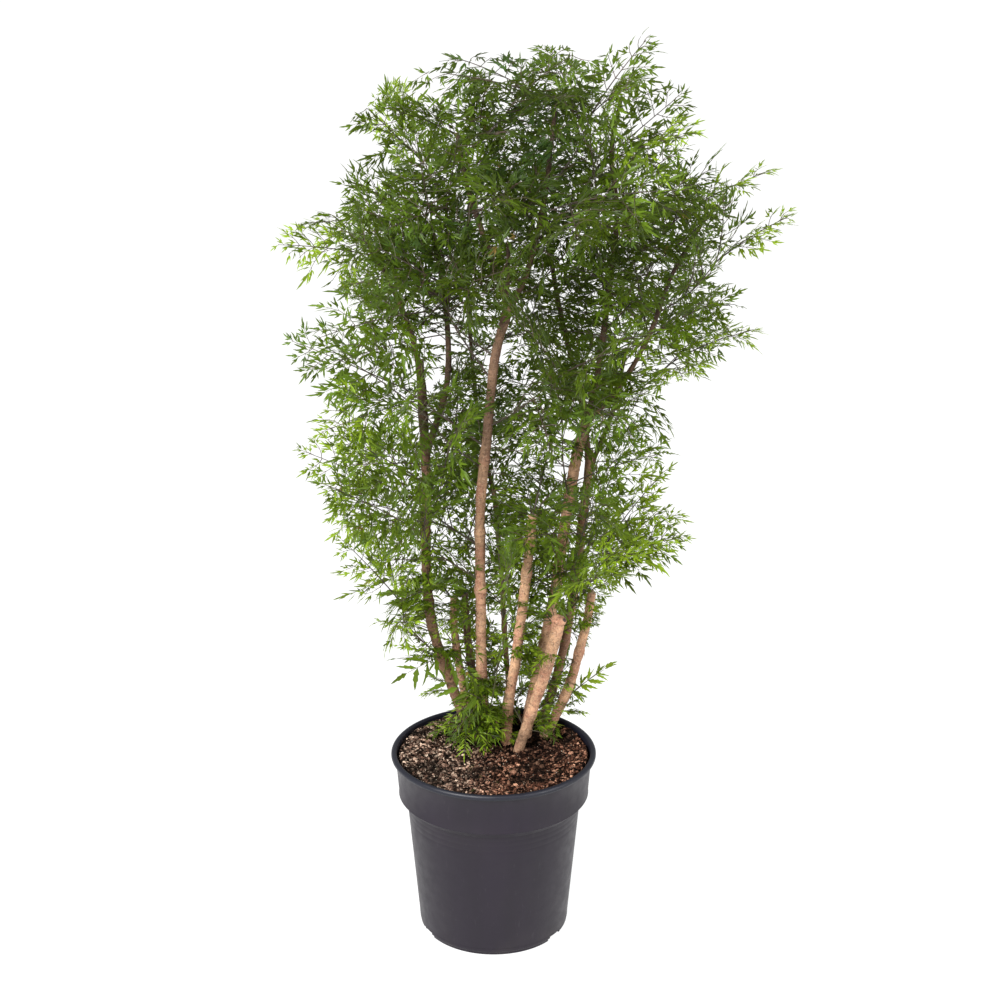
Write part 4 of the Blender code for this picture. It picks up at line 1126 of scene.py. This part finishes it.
class Woodwork:
    """Points, faces and bark shades of one cane with its limbs, painted shade included."""

    def __init__(self, relief, rng):
        self.points, self.faces, self.kinds, self.ages_and_shades = [], [], [], []
        self.relief, self.rng = relief, rng

    def add_bar(self, line, radii, ages_and_shades, sides, knees=(), flare=0.0, cut=0.0, cut_kind=1):
        """A round bar with rings and lumps, flared at its root, with a cut or pointed top."""
        first = len(self.points)
        marks = np.array(ring_marks(sum((b - a).length for a, b in zip(line, line[1:])), self.rng))
        travelled = 0.0
        for i, (centre, ring) in enumerate(tube_rings(line, sides)):
            travelled += (line[i] - line[i - 1]).length if i else 0.0
            ahead = marks - travelled
            ridge = float(np.exp(-(ahead / SCAR_WIDTH) ** 2).sum())
            dip = float(np.exp(-((ahead + DIP_DISTANCE) / DIP_WIDTH) ** 2).sum())
            wide = radii[i] * (1 + flare * math.exp(-travelled / FLARE_FADE))
            wide += sum(swell * math.exp(-((centre.z - height) / KNEE_FADE) ** 2)
                        for height, swell in knees)
            for way in ring:
                spot = centre + way * wide
                whole = noise(spot * 60.0 + Vector((7, 3, 1))) > -0.1
                part = BARE_SHARE + (1 - BARE_SHARE) * whole
                lump = noise(spot * 34.0) * 1.7 + noise(spot * 120.0)
                raised = self.relief * (ridge * part - DIP_SHARE * dip * part + lump)
                self.points.append(centre + way * (wide + raised * min(1.0, wide / THICK_CANE)))
                self.ages_and_shades.append(ages_and_shades[i])
        faces = tube_faces(len(line), sides, first)
        self.faces += faces
        self.kinds += [0] * len(faces)
        self.close_top(line, radii[-1], ages_and_shades[-1], sides, cut, cut_kind)

    def close_top(self, line, radius, age_and_shade, sides, cut, cut_kind):
        """Slightly domed end; a cut one shows its wood."""
        last = len(self.points) - sides
        way = (line[-1] - line[-2]).normalized()
        inner = []
        for k in range(sides):
            edge = self.points[last + k]
            inner.append(edge.lerp(line[-1], 0.22) + way * radius * 0.10)
        start = len(self.points)
        self.points += inner + [line[-1] + way * radius * (0.16 + cut)]
        self.ages_and_shades += [age_and_shade] * (sides + 1)
        for k in range(sides):
            after = (k + 1) % sides
            self.faces += [(last + k, last + after, start + after),
                           (last + k, start + after, start + k),
                           (start + k, start + after, start + sides)]
            self.kinds += [0, 0, cut_kind]

    def add_knob(self, centre, radius, reach, age_and_shade):
        """A rounded knob of healed wood."""
        bm = bmesh.new()
        bmesh.ops.create_icosphere(bm, subdivisions=4, radius=radius)
        first = len(self.points)
        for vert in bm.verts:
            spot = centre + vert.co
            self.points.append(spot + vert.normal * self.relief * 1.6 * noise(spot * 130.0))
            self.ages_and_shades.append(age_and_shade + 0.25 * max(0.0, vert.normal.z))
        self.faces += [tuple(first + v.index for v in face.verts) for face in bm.faces]
        self.kinds += [2 if face.normal.dot(KNOB_CUT) > reach else 0 for face in bm.faces]
        bm.free()


def build_cane(name, bark, looks):
    """One cane with its limbs as one object."""
    low, high, shade, _ = CANES[name]
    work = Woodwork(bark.relief, random.Random(name))
    line = cane_line(name, 0.0024)
    # Tall canes darken above DARK_START, partly browner bark and partly painted shade inside the
    # crown
    dark_share = DARK_SHARE if line[-1].z > TALL_CANE else 0.0
    # Darker towards the soil: partly the bark, partly painted shade among the low leaves
    foot_shade = FOOT_SHADES.get(name, PLAIN_FOOT_SHADE)
    ages_and_shades = [min(DARKEST_CANE, shade + dark_share * clamped((p.z - DARK_START) / DARK_FADE)
                + foot_shade * clamped((FOOT_SHADE_TOP - p.z) / FOOT_SHADE_FADE)) for p in line]
    work.add_bar(line, tapered(low, high, len(line)), ages_and_shades, CANE_SIDES, KNEES[name],
                 cut=POINTED_TOPS.get(name, 0.0), cut_kind=2 if name in DARK_TOPS else 1)
    for parent, root_radius, end_radius, points in LIMBS:
        if parent == name:
            limb = smooth_path(points, 0.006)
            work.add_bar(limb, tapered(root_radius, end_radius, len(limb)),
                         tapered(*LIMB_AGES_AND_SHADES, len(limb)), LIMB_SIDES, flare=LIMB_FLARE)
    for parent, offset, radius, reach in KNOBS:
        if parent == name:
            work.add_knob(line[-1] + Vector(offset), radius, reach, 0.05)
    obj = mesh_object(name + "_bark", np.array(work.points), np.array(work.faces), work.kinds)
    obj.data.attributes.new("age_and_shade", "FLOAT", "POINT").data.foreach_set("value", work.ages_and_shades)
    return show(obj, *looks)


class ARALIA_OT_canes(bpy.types.Operator):
    """Make the canes and limbs with their ringed bark and cut tops"""
    bl_idname = "aralia.canes"
    bl_label = "Canes"

    def execute(self, context):
        bark = context.scene.aralia_bark
        looks = (bark_material(bark), cut_wood("cut_wood", *FRESH_CUT),
                 cut_wood("old_cut", *OLD_CUT))
        for name in CANES:
            obj = build_cane(name, bark, looks)
            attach(obj, "root")
            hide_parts(name)
        return {"FINISHED"}


def wood_tree():
    """Search tree of all canes of the frame."""
    points, faces = [], []
    for name in CANES:
        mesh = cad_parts[name].data
        faces += [tuple(len(points) + v for v in p.vertices) for p in mesh.polygons]
        points += [v.co.copy() for v in mesh.vertices]
    return BVHTree.FromPolygons(points, faces)


def read_leaf(tips):
    """Leaf whose rib runs through the corners next to its leaflet tips."""
    around = {tip: [edge.other_vert(tip) for edge in tip.link_edges] for tip in tips}
    pairs = len(tips) // 2
    last = min(tips, key=lambda tip: max((a.co - b.co).length
                                         for a in around[tip] for b in around[tip]))
    corners = sorted({corner for tip in tips for corner in around[tip]},
                     key=lambda corner: ((corner.co - last.co).length, corner.index))
    shares, middles = [1.0], [last.co[:]]
    for k in range(pairs + 1):
        station = [corner.co for corner in corners[4 * k:4 * k + 4]]
        middles.append((sum(station, Vector()) / 4)[:])
        along = PAIRED_SHARE * (pairs - k) / pairs
        shares.append(PETIOLE_SHARE + (1 - PETIOLE_SHARE) * along)
    shares = np.array(shares)
    terms = np.stack([np.ones_like(shares), shares, -shares ** 2], axis=1)
    root, along, drop = np.linalg.lstsq(terms, np.array(middles), rcond=None)[0]
    length = float(np.linalg.norm(along))
    return Leaf(Vector(root), Vector(along) / length, Vector(drop).normalized(), length)


def tip_groups(bm):
    """The pointed corners of a spray, those of one leaf together."""
    sharp = [v for v in bm.verts if min(edge.calc_length() for edge in v.link_edges) > RING_REACH
             and sum(loop.calc_angle() for loop in v.link_loops) < TIP_ANGLE]
    near = {tip: {edge.other_vert(tip).index for edge in tip.link_edges} for tip in sharp}
    groups = []
    for tip in sharp:
        joined, apart = [tip], []
        for group in groups:
            if any(near[tip] & near[other] for other in group):
                joined += group
            else:
                apart.append(group)
        groups = apart + [joined]
    return groups


def read_twig(spots, leaves, wood):
    """Middle line of a spray's twig, from just inside the bark to the end leaf."""
    rings = []
    for spot in spots:
        for ring in rings:
            if (ring[0] - spot).length < RING_REACH:
                ring.append(spot)
                break
        else:
            rings.append([spot])
    middles = [sum(ring, Vector()) / 4 for ring in rings if len(ring) == 4]
    middles = [m for m in middles if all((m - leaf.root).length > ROOT_REACH for leaf in leaves)]
    seat = min(middles, key=lambda middle: wood.find_nearest(middle)[3])
    bark = wood.find_nearest(seat)[0]
    far = [m for m in middles if (m - seat).length > KNEE_REACH]
    line = sorted(far + [leaf.root for leaf in leaves], key=lambda spot: (spot - seat).length)
    start = bark + (bark - seat).normalized() * TWIG_SINK
    return smooth_path([start, seat] + line, 0.009)


def read_spray(node, wood):
    """Leaves and twig line of a spray of the frame."""
    bm = bmesh.new()
    bm.from_mesh(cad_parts[node].data)
    bmesh.ops.remove_doubles(bm, verts=bm.verts, dist=0.00001)
    bm.verts.index_update()
    groups = tip_groups(bm)
    if any(len(group) not in FRAME_TIPS for group in groups):
        raise RuntimeError(f"the leaves of {node} can't be told apart")
    leaves = [read_leaf(group) for group in groups]
    blades = {v.index for group in groups for tip in group
              for v in [tip] + [edge.other_vert(tip) for edge in tip.link_edges]}
    spots = [v.co.copy() for v in bm.verts if v.index not in blades]
    bm.free()
    return leaves, read_twig(spots, leaves, wood)


def rib_point(leaf, share):
    """Point on a leaf's arched rib, from its root at 0 to its tip at 1."""
    drop = leaf.arch * leaf.length * share * share
    return leaf.root + leaf.direction * leaf.length * share - leaf.normal * drop


def leaf_outline(share):
    """Half width of a leaf, as a share of its widest, from its first pinnae to its tip."""
    if share < 0.2:
        return 0.84 + 0.8 * share
    return 1.0 - 0.74 * ((share - 0.2) / 0.8) ** 1.25


def pinna_ends(leaf, share, side):
    """Where a pinna leaves the rib, and its tip; side is -1 or 1, or 0 for the end one."""
    if side == 0:
        return rib_point(leaf, 0.86), rib_point(leaf, 1.0)
    blade = 1 - PETIOLE_SHARE
    reach = leaf.length * blade * LEAF_ASPECT / 2 * leaf_outline(share)
    middle = rib_point(leaf, PETIOLE_SHARE + blade * share * PAIRED_SHARE)
    sweep = LEAFLET_SWEEP + END_SWEEP * share * share
    across = leaf.direction.cross(leaf.normal) * side
    return middle, middle + reach * (across + leaf.direction * sweep - leaf.normal * LEAFLET_DROOP)


class Template:
    """Outline of a leaflet or stalk: along, across and upwards, with its triangles."""

    def __init__(self, rib, edge, faces, fold):
        names = {f"r{k}": k for k in range(len(rib))}
        points = [(u, 0.0, 0.0) for u in rib]
        for side in (1, -1):
            for k, (u, v) in enumerate(edge):
                names[f"e{k}{side}"] = len(points)
                points.append((u, v * side, v * fold))
        triangles = []
        for face in faces:
            triangles.append([names.get(c, names.get(c + "1")) for c in face])
            triangles.append([names.get(c, names.get(c + "-1")) for c in reversed(face)])
        self.points = np.array(points)
        self.faces = np.array(triangles)


class StalkTemplate:
    """A thin flat strip."""
    points = np.array([(0.0, -1.0, 0.0), (0.0, 1.0, 0.0), (1.0, 0.8, 0.0), (1.0, -0.8, 0.0)])
    faces = np.array([(0, 1, 2), (0, 2, 3)])


class Foliage:
    """Leaflets and stalks gathered for one piece."""

    def __init__(self, settings, rng, wood):
        self.settings, self.rng, self.wood = settings, rng, wood
        self.shapes = {name: [] for name in TEMPLATES}
        self.tubes = []

    def add_stalk(self, path, radii, sides, kind):
        """A stalk along a path, tapering between two radii."""
        self.tubes.append((*thin_tube(path, tapered(*radii, len(path)), sides), kind))

    def add_shape(self, name, base, along, up, length, width, bend, sweep, kind):
        """One leaflet or short stalk, bent down and swept sideways."""
        across = along.cross(up)
        row = (*base, *along, *across, *up, length, width, bend, sweep, kind)
        self.shapes[name].append(row)

    def add_leaflet_group(self, base, along, up, length, kind):
        """A stalked toothed leaflet with a narrow lobe on each side."""
        rng = self.rng
        stalk = length * rng.uniform(0.06, 0.14)
        fork = base + along * stalk
        across = along.cross(up)
        self.add_shape("stalk", base, along, up, stalk, STALK_HALF_WIDTH, 0.0, 0.0, STALK_GREEN)
        main = length - stalk
        bend, sweep = rng.uniform(0.02, 0.24), rng.uniform(-0.16, 0.16)
        slim = 0.058 if kind == LEAF_YOUNG_AND_LIT else 0.072
        self.add_shape("toothed", fork, along, up, main, slim * main + 0.0003, bend, sweep, kind)
        for side in (-1, 1):
            turn = math.radians(rng.uniform(22, 38)) * side
            way = (along * math.cos(turn) + across * math.sin(turn)).normalized()
            lift = (up - way * up.dot(way)).normalized()
            small = main * rng.uniform(0.42, 0.62)
            start = fork + along * main * rng.uniform(0.02, 0.24)
            self.add_shape("plain", start, way, lift, small, 0.084 * small + 0.0003,
                           rng.uniform(0.0, 0.2), -0.12 * side, kind)

    def add_pinna(self, base, tip, normal, kind):
        """A thin stalk with paired leaflet groups, its first part bare."""
        rng, foliage = self.rng, self.settings
        if tip.z > crown_top(tip.x) + TRIM_SLACK:
            return
        chord = tip - base
        reach = chord.length
        along = chord / reach
        up = (normal - along * normal.dot(along)).normalized()
        up = Matrix.Rotation(math.radians(rng.gauss(0, 20)), 3, along) @ up
        across = along.cross(up)
        bow = across * reach * rng.uniform(-0.06, 0.06)
        line = [base + chord * s * 0.80 + (up * reach * 0.09 + bow) * 4 * s * (1 - s)
                for s in (0.0, 0.3, 0.65, 1.0)]
        self.add_stalk(line, PINNA_RADII, 3, STALK_GREEN)
        pairs = foliage.leaflet_pairs - (reach < 0.040)
        grown = foliage.leaflet_length * min(1.08, 0.42 + 0.58 * reach / 0.065)
        for k in range(pairs):
            share = 0.24 + 0.66 * k / max(1, pairs - 1) + rng.uniform(-0.03, 0.03)
            spot = self.along_line(line, share)
            for side in (-1, 1):
                spread = math.radians(56 - 24 * share + rng.gauss(0, 7)) * side
                way = along * math.cos(spread) + across * math.sin(spread)
                way = (way + up * rng.gauss(0.0, 0.16)).normalized()
                self.place_group(spot, way, up, grown * (1.0 - 0.22 * share), kind)
        way = (line[-1] - line[-2]).normalized()
        self.place_group(line[-1], way, up, grown, kind)

    def along_line(self, line, share):
        """Point at a share of a line of evenly spaced points."""
        spot = min(share, 0.999) * (len(line) - 1)
        return line[int(spot)].lerp(line[int(spot) + 1], spot % 1)

    def place_group(self, spot, way, up, length, kind, broad=0.0):
        """A leaflet group, left out where it would run into a cane or leave the frame's box."""
        rng = self.rng
        length *= rng.uniform(0.84, 1.14)
        end = spot + way * length
        inside = all(CAD_LOW[i] - BOX_SLACK < end[i] < CAD_HIGH[i] + BOX_SLACK for i in range(3))
        airy = AIRY_LEFT if spot.x < 0 else AIRY_RIGHT
        missing = rng.random() < MISSING_SHARE + airy * max(0.0, from_middle(spot) - DENSE_REACH)
        high = end.z > crown_top(end.x) and rng.random() < TRIM_SHARE
        if missing or high or not inside or self.wood.ray_cast(spot, way, length)[0] is not None:
            return
        lift = (up - way * up.dot(way)).normalized()
        lift = Matrix.Rotation(math.radians(rng.gauss(0, 26)), 3, way) @ lift
        if rng.random() < DRY_SHARE:
            kind = LEAF_DRY
        elif rng.random() < OLDER_SHARE:
            kind = max(LEAF_OLD_AND_SHADED, kind - 1)
        if broad:
            self.add_shape("broad", spot, way, lift, length, broad * length,
                           rng.uniform(0.05, 0.30), rng.uniform(-0.2, 0.2), kind)
        else:
            self.add_leaflet_group(spot, way, lift, length, kind)

    def add_leaf(self, leaf, kind):
        """A whole leaf: dark rib, pairs of pinnae and the end pinna."""
        rng = self.rng
        rib = [rib_point(leaf, k / 8 * 0.90) for k in range(9)]
        rib = rib[:2] + [spot for spot in rib[2:] if spot.z < crown_top(spot.x) + TRIM_SLACK]
        self.add_stalk(rib, RIB_RADII, 4, STALK_DARK)
        pairs = self.settings.pinna_pairs if leaf.length > 0.10 else 3
        for k in range(pairs):
            share = (k + 0.5) / pairs
            for side in (-1, 1):
                place = min(0.97, max(0.03, share + rng.uniform(-0.035, 0.035)))
                base, tip = pinna_ends(leaf, place, side)
                chord = tip - base
                swing = Matrix.Rotation(math.radians(rng.gauss(0, 9)), 3, leaf.normal)
                tilt = Matrix.Rotation(math.radians(rng.gauss(0, 15)), 3, leaf.direction)
                tip = base + tilt @ swing @ chord * rng.uniform(0.90, 1.06)
                self.add_pinna(base, tip, leaf.normal, kind)
        self.add_pinna(*pinna_ends(leaf, 1.0, 0), leaf.normal, kind)

    def add_frond(self, leaf, pairs, leaflet, kind, broad=0.0):
        """A simple leaf: pairs of leaflet groups straight on its rib."""
        rng, tip = self.rng, rib_point(leaf, 1.0)
        if tip.z > crown_top(tip.x) + TRIM_SLACK:
            return
        self.add_stalk([rib_point(leaf, k / 6 * 0.92) for k in range(7)], FROND_RIB_RADII, 3,
                       STALK_GREEN)
        for k in range(2 * pairs + 1):
            share = 0.24 + 0.68 * min(1.0, (k // 2) / pairs) + rng.uniform(-0.02, 0.02)
            side = 0 if k == 2 * pairs else 1 - 2 * (k % 2)
            spot = rib_point(leaf, share)
            along = (rib_point(leaf, share + 0.05) - spot).normalized()
            up = (leaf.normal - along * leaf.normal.dot(along)).normalized()
            spread = math.radians(58 - 24 * share + rng.gauss(0, 6)) * side
            way = along * math.cos(spread) + along.cross(up) * math.sin(spread)
            way = (way + up * rng.gauss(-0.05, 0.14)).normalized()
            length = leaflet * (1.05 - 0.85 * (share - 0.40) ** 2)
            self.place_group(spot, way, up, length, kind, broad)

    def build(self, name, looks):
        """The gathered parts as one object."""
        points, faces, kinds, smooth, first = [], [], [], [], 0
        for tube_points, tube_triangles, kind in self.tubes:
            points.append(np.array(tube_points))
            faces.append(np.array(tube_triangles) + first)
            kinds.append(np.full(len(tube_triangles), kind))
            smooth.append(np.ones(len(tube_triangles), bool))
            first += len(tube_points)
        for shape, rows in self.shapes.items():
            rows = np.array(rows)
            if not len(rows):
                continue
            template = TEMPLATES[shape]
            u, v, w = (template.points[:, i][None, :, None] for i in range(3))
            base, along, across, up = (rows[:, None, 3 * i:3 * i + 3] for i in range(4))
            length, width, bend, sweep = (rows[:, None, i:i + 1] for i in range(12, 16))
            placed = (base + along * u * length + across * (v * width + sweep * u * u * length)
                      + up * (w * width - bend * u * u * length))
            count, size = len(rows), len(template.points)
            points.append(placed.reshape(-1, 3))
            shifts = first + size * np.arange(count)[:, None, None]
            faces.append((template.faces[None] + shifts).reshape(-1, 3))
            kinds.append(np.repeat(rows[:, 16].astype(int), len(template.faces)))
            smooth.append(np.full(count * len(template.faces), shape == "stalk"))
            first += count * size
        obj = mesh_object(name, np.concatenate(points), np.concatenate(faces),
                          np.concatenate(kinds), np.concatenate(smooth))
        return show(obj, *looks)


def leaf_towards(root, direction, length, arch=LEAF_ARCH):
    """Leaf that starts at a place and faces as far up as its direction lets it."""
    direction = direction.normalized()
    return Leaf(root, direction, (UP - direction * UP.dot(direction)).normalized(), length, arch)


def leaves_between(leaves, foot, rng):
    """Smaller leaves on the twig between those of the frame."""
    row = sorted(leaves, key=lambda leaf: (leaf.root - foot).length)
    made, side = [], rng.choice((-1, 1))
    for first, second in zip(row, row[1:]):
        for share in (0.3, 0.7):
            if rng.random() < (FILL_SHARE if first.root.z > FILL_HEIGHT else LOW_FILL_SHARE):
                side = -side
                forward = (first.direction + second.direction).normalized()
                sideways = first.direction.cross(UP) * rng.uniform(-0.9, 0.9)
                way = forward + (first.normal + second.normal) * 0.25 * side + sideways
                length = (first.length + second.length) / 2 * FILL_LENGTH * rng.uniform(0.75, 1.0)
                made.append(leaf_towards(first.root.lerp(second.root, share), way, length))
    return made


def leaves_along(twig, leaves, rng):
    """Small leaves on the bare first part of a twig."""
    reach = min((leaf.root - twig[0]).length for leaf in leaves)
    made = []
    for spot, after in list(zip(twig, twig[1:]))[1::2]:
        if (spot - twig[0]).length < reach:
            forward = (after - spot).normalized()
            way = forward + Vector((rng.uniform(-1, 1), rng.uniform(-1, 1), rng.uniform(-0.3, 1)))
            made.append(leaf_towards(spot, way, rng.uniform(0.055, 0.080)))
    return made


def heading_way(heading, rise):
    """Direction from a heading and a rise in degrees."""
    heading, rise = math.radians(heading), math.radians(rise)
    level = math.cos(rise)
    return Vector((level * math.cos(heading), level * math.sin(heading), math.sin(rise)))


def young_shoots(rng):
    """Small leaves that grow straight from the canes in tufts, and along the limbs."""
    leaves = []
    for name, tufts in SHOOTS.items():
        line = cane_line(name, 0.004)
        for height, heading, length in tufts:
            spot = min(line, key=lambda point: abs(point.z - height))
            for _ in range(LEAVES_OF_A_TUFT):
                way = heading_way(heading + rng.uniform(-26, 26), SHOOT_RISE + rng.uniform(-24, 30))
                leaves.append(leaf_towards(spot + way * CANES[name][0] * 0.9, way,
                                           length * rng.uniform(0.75, 1.10), SHOOT_ARCH))
    for _, root_radius, _, points in LIMBS:
        for spot in smooth_path(points, 0.016)[1:-1]:
            way = heading_way(rng.uniform(160, 400), rng.uniform(-5, 45))
            root = spot + way * root_radius * 0.6
            leaves.append(leaf_towards(root, way, rng.uniform(*LIMB_LEAF)))
    return leaves


def fronds(rng):
    """Arching fronds round the foot of the left canes."""
    leaves = []
    for heading, rise, length in FRONDS:
        way = heading_way(heading, rise)
        root = FROND_FOOT + Vector((way.x, way.y, 0.0)) * rng.uniform(0.006, 0.016)
        leaves.append(leaf_towards(root, way, length, FROND_ARCH))
    return leaves


def from_middle(spot):
    """Level distance of a place from the middle of the crown."""
    return math.hypot(spot.x - CROWN_MIDDLE.x, spot.y - CROWN_MIDDLE.y)


def crown_top(x):
    """Height of the crown's upper outline from left to right."""
    places, heights = zip(*CROWN_TOP)
    return float(np.interp(x, places, heights))


def leaf_kind(spot, rng):
    """Old inside the crown, young at its edge and low down; also painted shade inside and light at
    the edge.
    """
    away = math.hypot(spot.x - CROWN_MIDDLE.x, FRONT_SHARE * (spot.y - CROWN_MIDDLE.y))
    out = YOUTH_AND_LIGHT_OUT_EDGE if spot.z < EDGE_HEIGHT or spot.x < EDGE_LEFT else YOUTH_AND_LIGHT_OUT
    low = clamped((LOW_TOP - spot.z) / LOW_FADE)
    high = max(0.0, spot.z - HIGH_START)
    drift = YOUTH_DRIFT * noise(spot * 7.0) + rng.uniform(-0.10, 0.10)
    # Painted light: youth grows towards the crown's edge, most at its left and low edge, and above
    # HIGH_START
    youth_and_light = out * away + YOUTH_LOW * low + YOUTH_AND_LIGHT_HIGH * high + drift
    if youth_and_light < GROWN_YOUTH_AND_LIGHT:
        return LEAF_OLD_AND_SHADED
    return LEAF_GROWN if youth_and_light < YOUNG_YOUTH_AND_LIGHT else LEAF_YOUNG_AND_LIT


def foliage_looks(foliage):
    """Materials of the leaves, in the order of their numbers."""
    return (stalk_material("stalk_dark", foliage.stalk, colour_of(foliage.stalk, 1.9)),
            stalk_material("stalk_green", *GREEN_STALK),
            leaf_material("leaf_old_and_shaded", foliage.old, 0.62, 0.30),
            leaf_material("leaf_grown", foliage.grown, 0.32, 0.36),
            leaf_material("leaf_young_and_lit", foliage.young, 0.08, 0.40),
            leaf_material("leaf_dry", foliage.dry, 0.0, 0.22))


class ARALIA_OT_foliage(bpy.types.Operator):
    """Grow every spray of the frame again with its finely divided leaves"""
    bl_idname = "aralia.foliage"
    bl_label = "Foliage"

    def execute(self, context):
        foliage = context.scene.aralia_foliage
        looks = foliage_looks(foliage)
        wood = wood_tree()
        for node in sorted(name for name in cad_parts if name.startswith("spray_")):
            rng = random.Random(f"{foliage.seed} {node}")
            leaves, twig = read_spray(node, wood)
            gathered = Foliage(foliage, rng, wood)
            look = STALK_GREEN if twig[0].z < GREEN_TWIG_HEIGHT else STALK_DARK
            gathered.add_stalk(twig, TWIG_RADII, 6, look)
            for leaf in leaves:
                spot = rib_point(leaf, 0.6)
                if leaf.root.z < BROAD_HEIGHT:
                    pairs, leaflet, broad = LOW_PAIRS, FRAME_FROND_LEAFLET, 0.0
                    kind = leaf_kind(spot, rng)
                    if spot.y < BROAD_FRONT and abs(spot.x - CROWN_MIDDLE.x) > BROAD_SIDE:
                        leaf = leaf._replace(normal=(leaf.normal + BROAD_TURN).normalized())
                        pairs, leaflet, broad = BROAD_PAIRS, BROAD_LEAFLET, BROAD_WIDTH
                        kind = LEAF_YOUNG_AND_LIT if spot.x > 0 else LEAF_GROWN
                    gathered.add_frond(leaf, pairs, leaf.length * leaflet, kind, broad)
                else:
                    gathered.add_leaf(leaf, leaf_kind(spot, rng))
            for leaf in leaves_between(leaves, twig[0], rng) + leaves_along(twig, leaves, rng):
                gathered.add_frond(leaf, FILL_PAIRS, leaf.length * FRAME_FROND_LEAFLET,
                                   leaf_kind(rib_point(leaf, 0.6), rng))
            obj = gathered.build("leaves_" + node[-2:], looks)
            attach(obj, "root")
            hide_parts(node)
        rng = random.Random(foliage.seed)
        for name, leaves, pairs, broad, young in (
                ("young_shoots", young_shoots(rng), SHOOT_PAIRS, 0.0, YOUNG_SHOOTS),
                ("basal_fronds", fronds(rng), FROND_PAIRS, FROND_WIDTH, YOUNG_FRONDS)):
            gathered = Foliage(foliage, rng, wood)
            for leaf in leaves:
                kind = LEAF_YOUNG_AND_LIT if rng.random() < young else LEAF_GROWN
                if leaf.root.z > SHOOT_TOP:
                    kind = leaf_kind(leaf.root, rng)
                leaflet = SHORTEST_LEAFLET + leaf.length * LEAFLET_GAIN
                gathered.add_frond(leaf, pairs, leaflet, kind, broad)
            obj = gathered.build(name, looks)
            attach(obj, "root")
        return {"FINISHED"}


def soft_lamp(name, place, aim, size, power):
    """A square area lamp that shines at a point."""
    lamp = bpy.data.lights.new(name, "AREA")
    lamp.size = size
    lamp.energy = power
    obj = bpy.data.objects.new(name, lamp)
    obj.location = place
    obj.rotation_euler = (Vector(aim) - Vector(place)).to_track_quat("-Z", "Y").to_euler()
    bpy.context.scene.collection.objects.link(obj)


class ARALIA_OT_stage(bpy.types.Operator):
    """Set up the pale floor, the soft light and the camera"""
    bl_idname = "aralia.stage"
    bl_label = "Stage"

    def execute(self, context):
        stage = context.scene.aralia_stage
        scene = context.scene
        corners = np.array([(x * FLOOR_REACH, y * FLOOR_REACH, -FLOOR_DROP)
                            for x, y in ((-1, -1), (1, -1), (1, 1), (-1, 1))])
        floor = mesh_object("floor", corners, np.array([(0, 1, 2), (0, 2, 3)]), smooth=False)
        look = Shading("floor_paint")
        cloud = look.ramp(look.noise(0.8), 0.3, 0.7)
        paint = look.mix(cloud, colour_of(stage.floor, 0.99), colour_of(stage.floor))
        look.shader.inputs["Emission Color"].default_value = WHITE
        look.shader.inputs["Emission Strength"].default_value = stage.glow
        show(floor, look.finish(paint, 0.9))
        world = bpy.data.worlds.new("studio")
        world.use_nodes = True
        sky = world.node_tree.nodes["Background"]
        sky.inputs["Color"].default_value = WHITE
        sky.inputs["Strength"].default_value = stage.ambient
        scene.world = world
        for name, place, size, share in LAMPS:
            soft_lamp(name, place, LAMP_AIM, size, stage.key * share)
        lens = bpy.data.cameras.new("front_camera")
        lens.lens = stage.lens
        lens.sensor_width = 36.0
        camera = bpy.data.objects.new("front_camera", lens)
        camera.location = stage.eye
        camera.rotation_euler = (stage.pitch, 0.0, 0.0)
        scene.collection.objects.link(camera)
        scene.camera = camera
        scene.view_settings.view_transform = "Standard"
        return {"FINISHED"}


class ARALIA_PT_panel(bpy.types.Panel):
    """Sizes, colours and steps of the plant"""
    bl_idname = "ARALIA_PT_panel"
    bl_label = "Potted ming aralia"
    bl_space_type = "VIEW_3D"
    bl_region_type = "UI"
    bl_category = "Aralia"

    def draw(self, context):
        for name, operator in SECTIONS:
            box = self.layout.box()
            settings = getattr(context.scene, name)
            for key in settings.bl_rna.properties.keys():
                if key not in ("rna_type", "name"):
                    box.prop(settings, key)
            box.operator(operator)


TEMPLATES = {
    "toothed": Template(RIB_POINTS, TOOTHED_EDGE, TOOTHED_FACES, LEAFLET_FOLD),
    "plain": Template(PLAIN_RIB, PLAIN_EDGE, PLAIN_FACES, LEAFLET_FOLD),
    "broad": Template(BROAD_RIB, BROAD_EDGE, BROAD_FACES, LEAFLET_FOLD),
    "stalk": StalkTemplate,
}
SECTIONS = (
    ("aralia_pot", "aralia.pot"), ("aralia_soil", "aralia.soil"),
    ("aralia_bark", "aralia.canes"), ("aralia_foliage", "aralia.foliage"),
    ("aralia_stage", "aralia.stage"),
)
SETTINGS = {
    "aralia_pot": PotSettings, "aralia_soil": SoilSettings, "aralia_bark": BarkSettings,
    "aralia_foliage": FoliageSettings, "aralia_stage": StageSettings,
}
CLASSES = (*SETTINGS.values(), ARALIA_OT_pot, ARALIA_OT_soil, ARALIA_OT_canes,
           ARALIA_OT_foliage, ARALIA_OT_stage, ARALIA_PT_panel)


def register():
    """Register the settings, operators and panel."""
    for cls in CLASSES:
        bpy.utils.register_class(cls)
    for name, kind in SETTINGS.items():
        setattr(bpy.types.Scene, name, PointerProperty(type=kind))


def unregister():
    """Take the settings, operators and panel away again."""
    for name in SETTINGS:
        delattr(bpy.types.Scene, name)
    for cls in reversed(CLASSES):
        bpy.utils.unregister_class(cls)


def main():
    """Build every piece and the stage."""
    register()
    bpy.ops.aralia.pot()
    bpy.ops.aralia.soil()
    bpy.ops.aralia.canes()
    bpy.ops.aralia.foliage()
    bpy.ops.aralia.stage()
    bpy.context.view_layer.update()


if __name__ == "__main__":
    main()
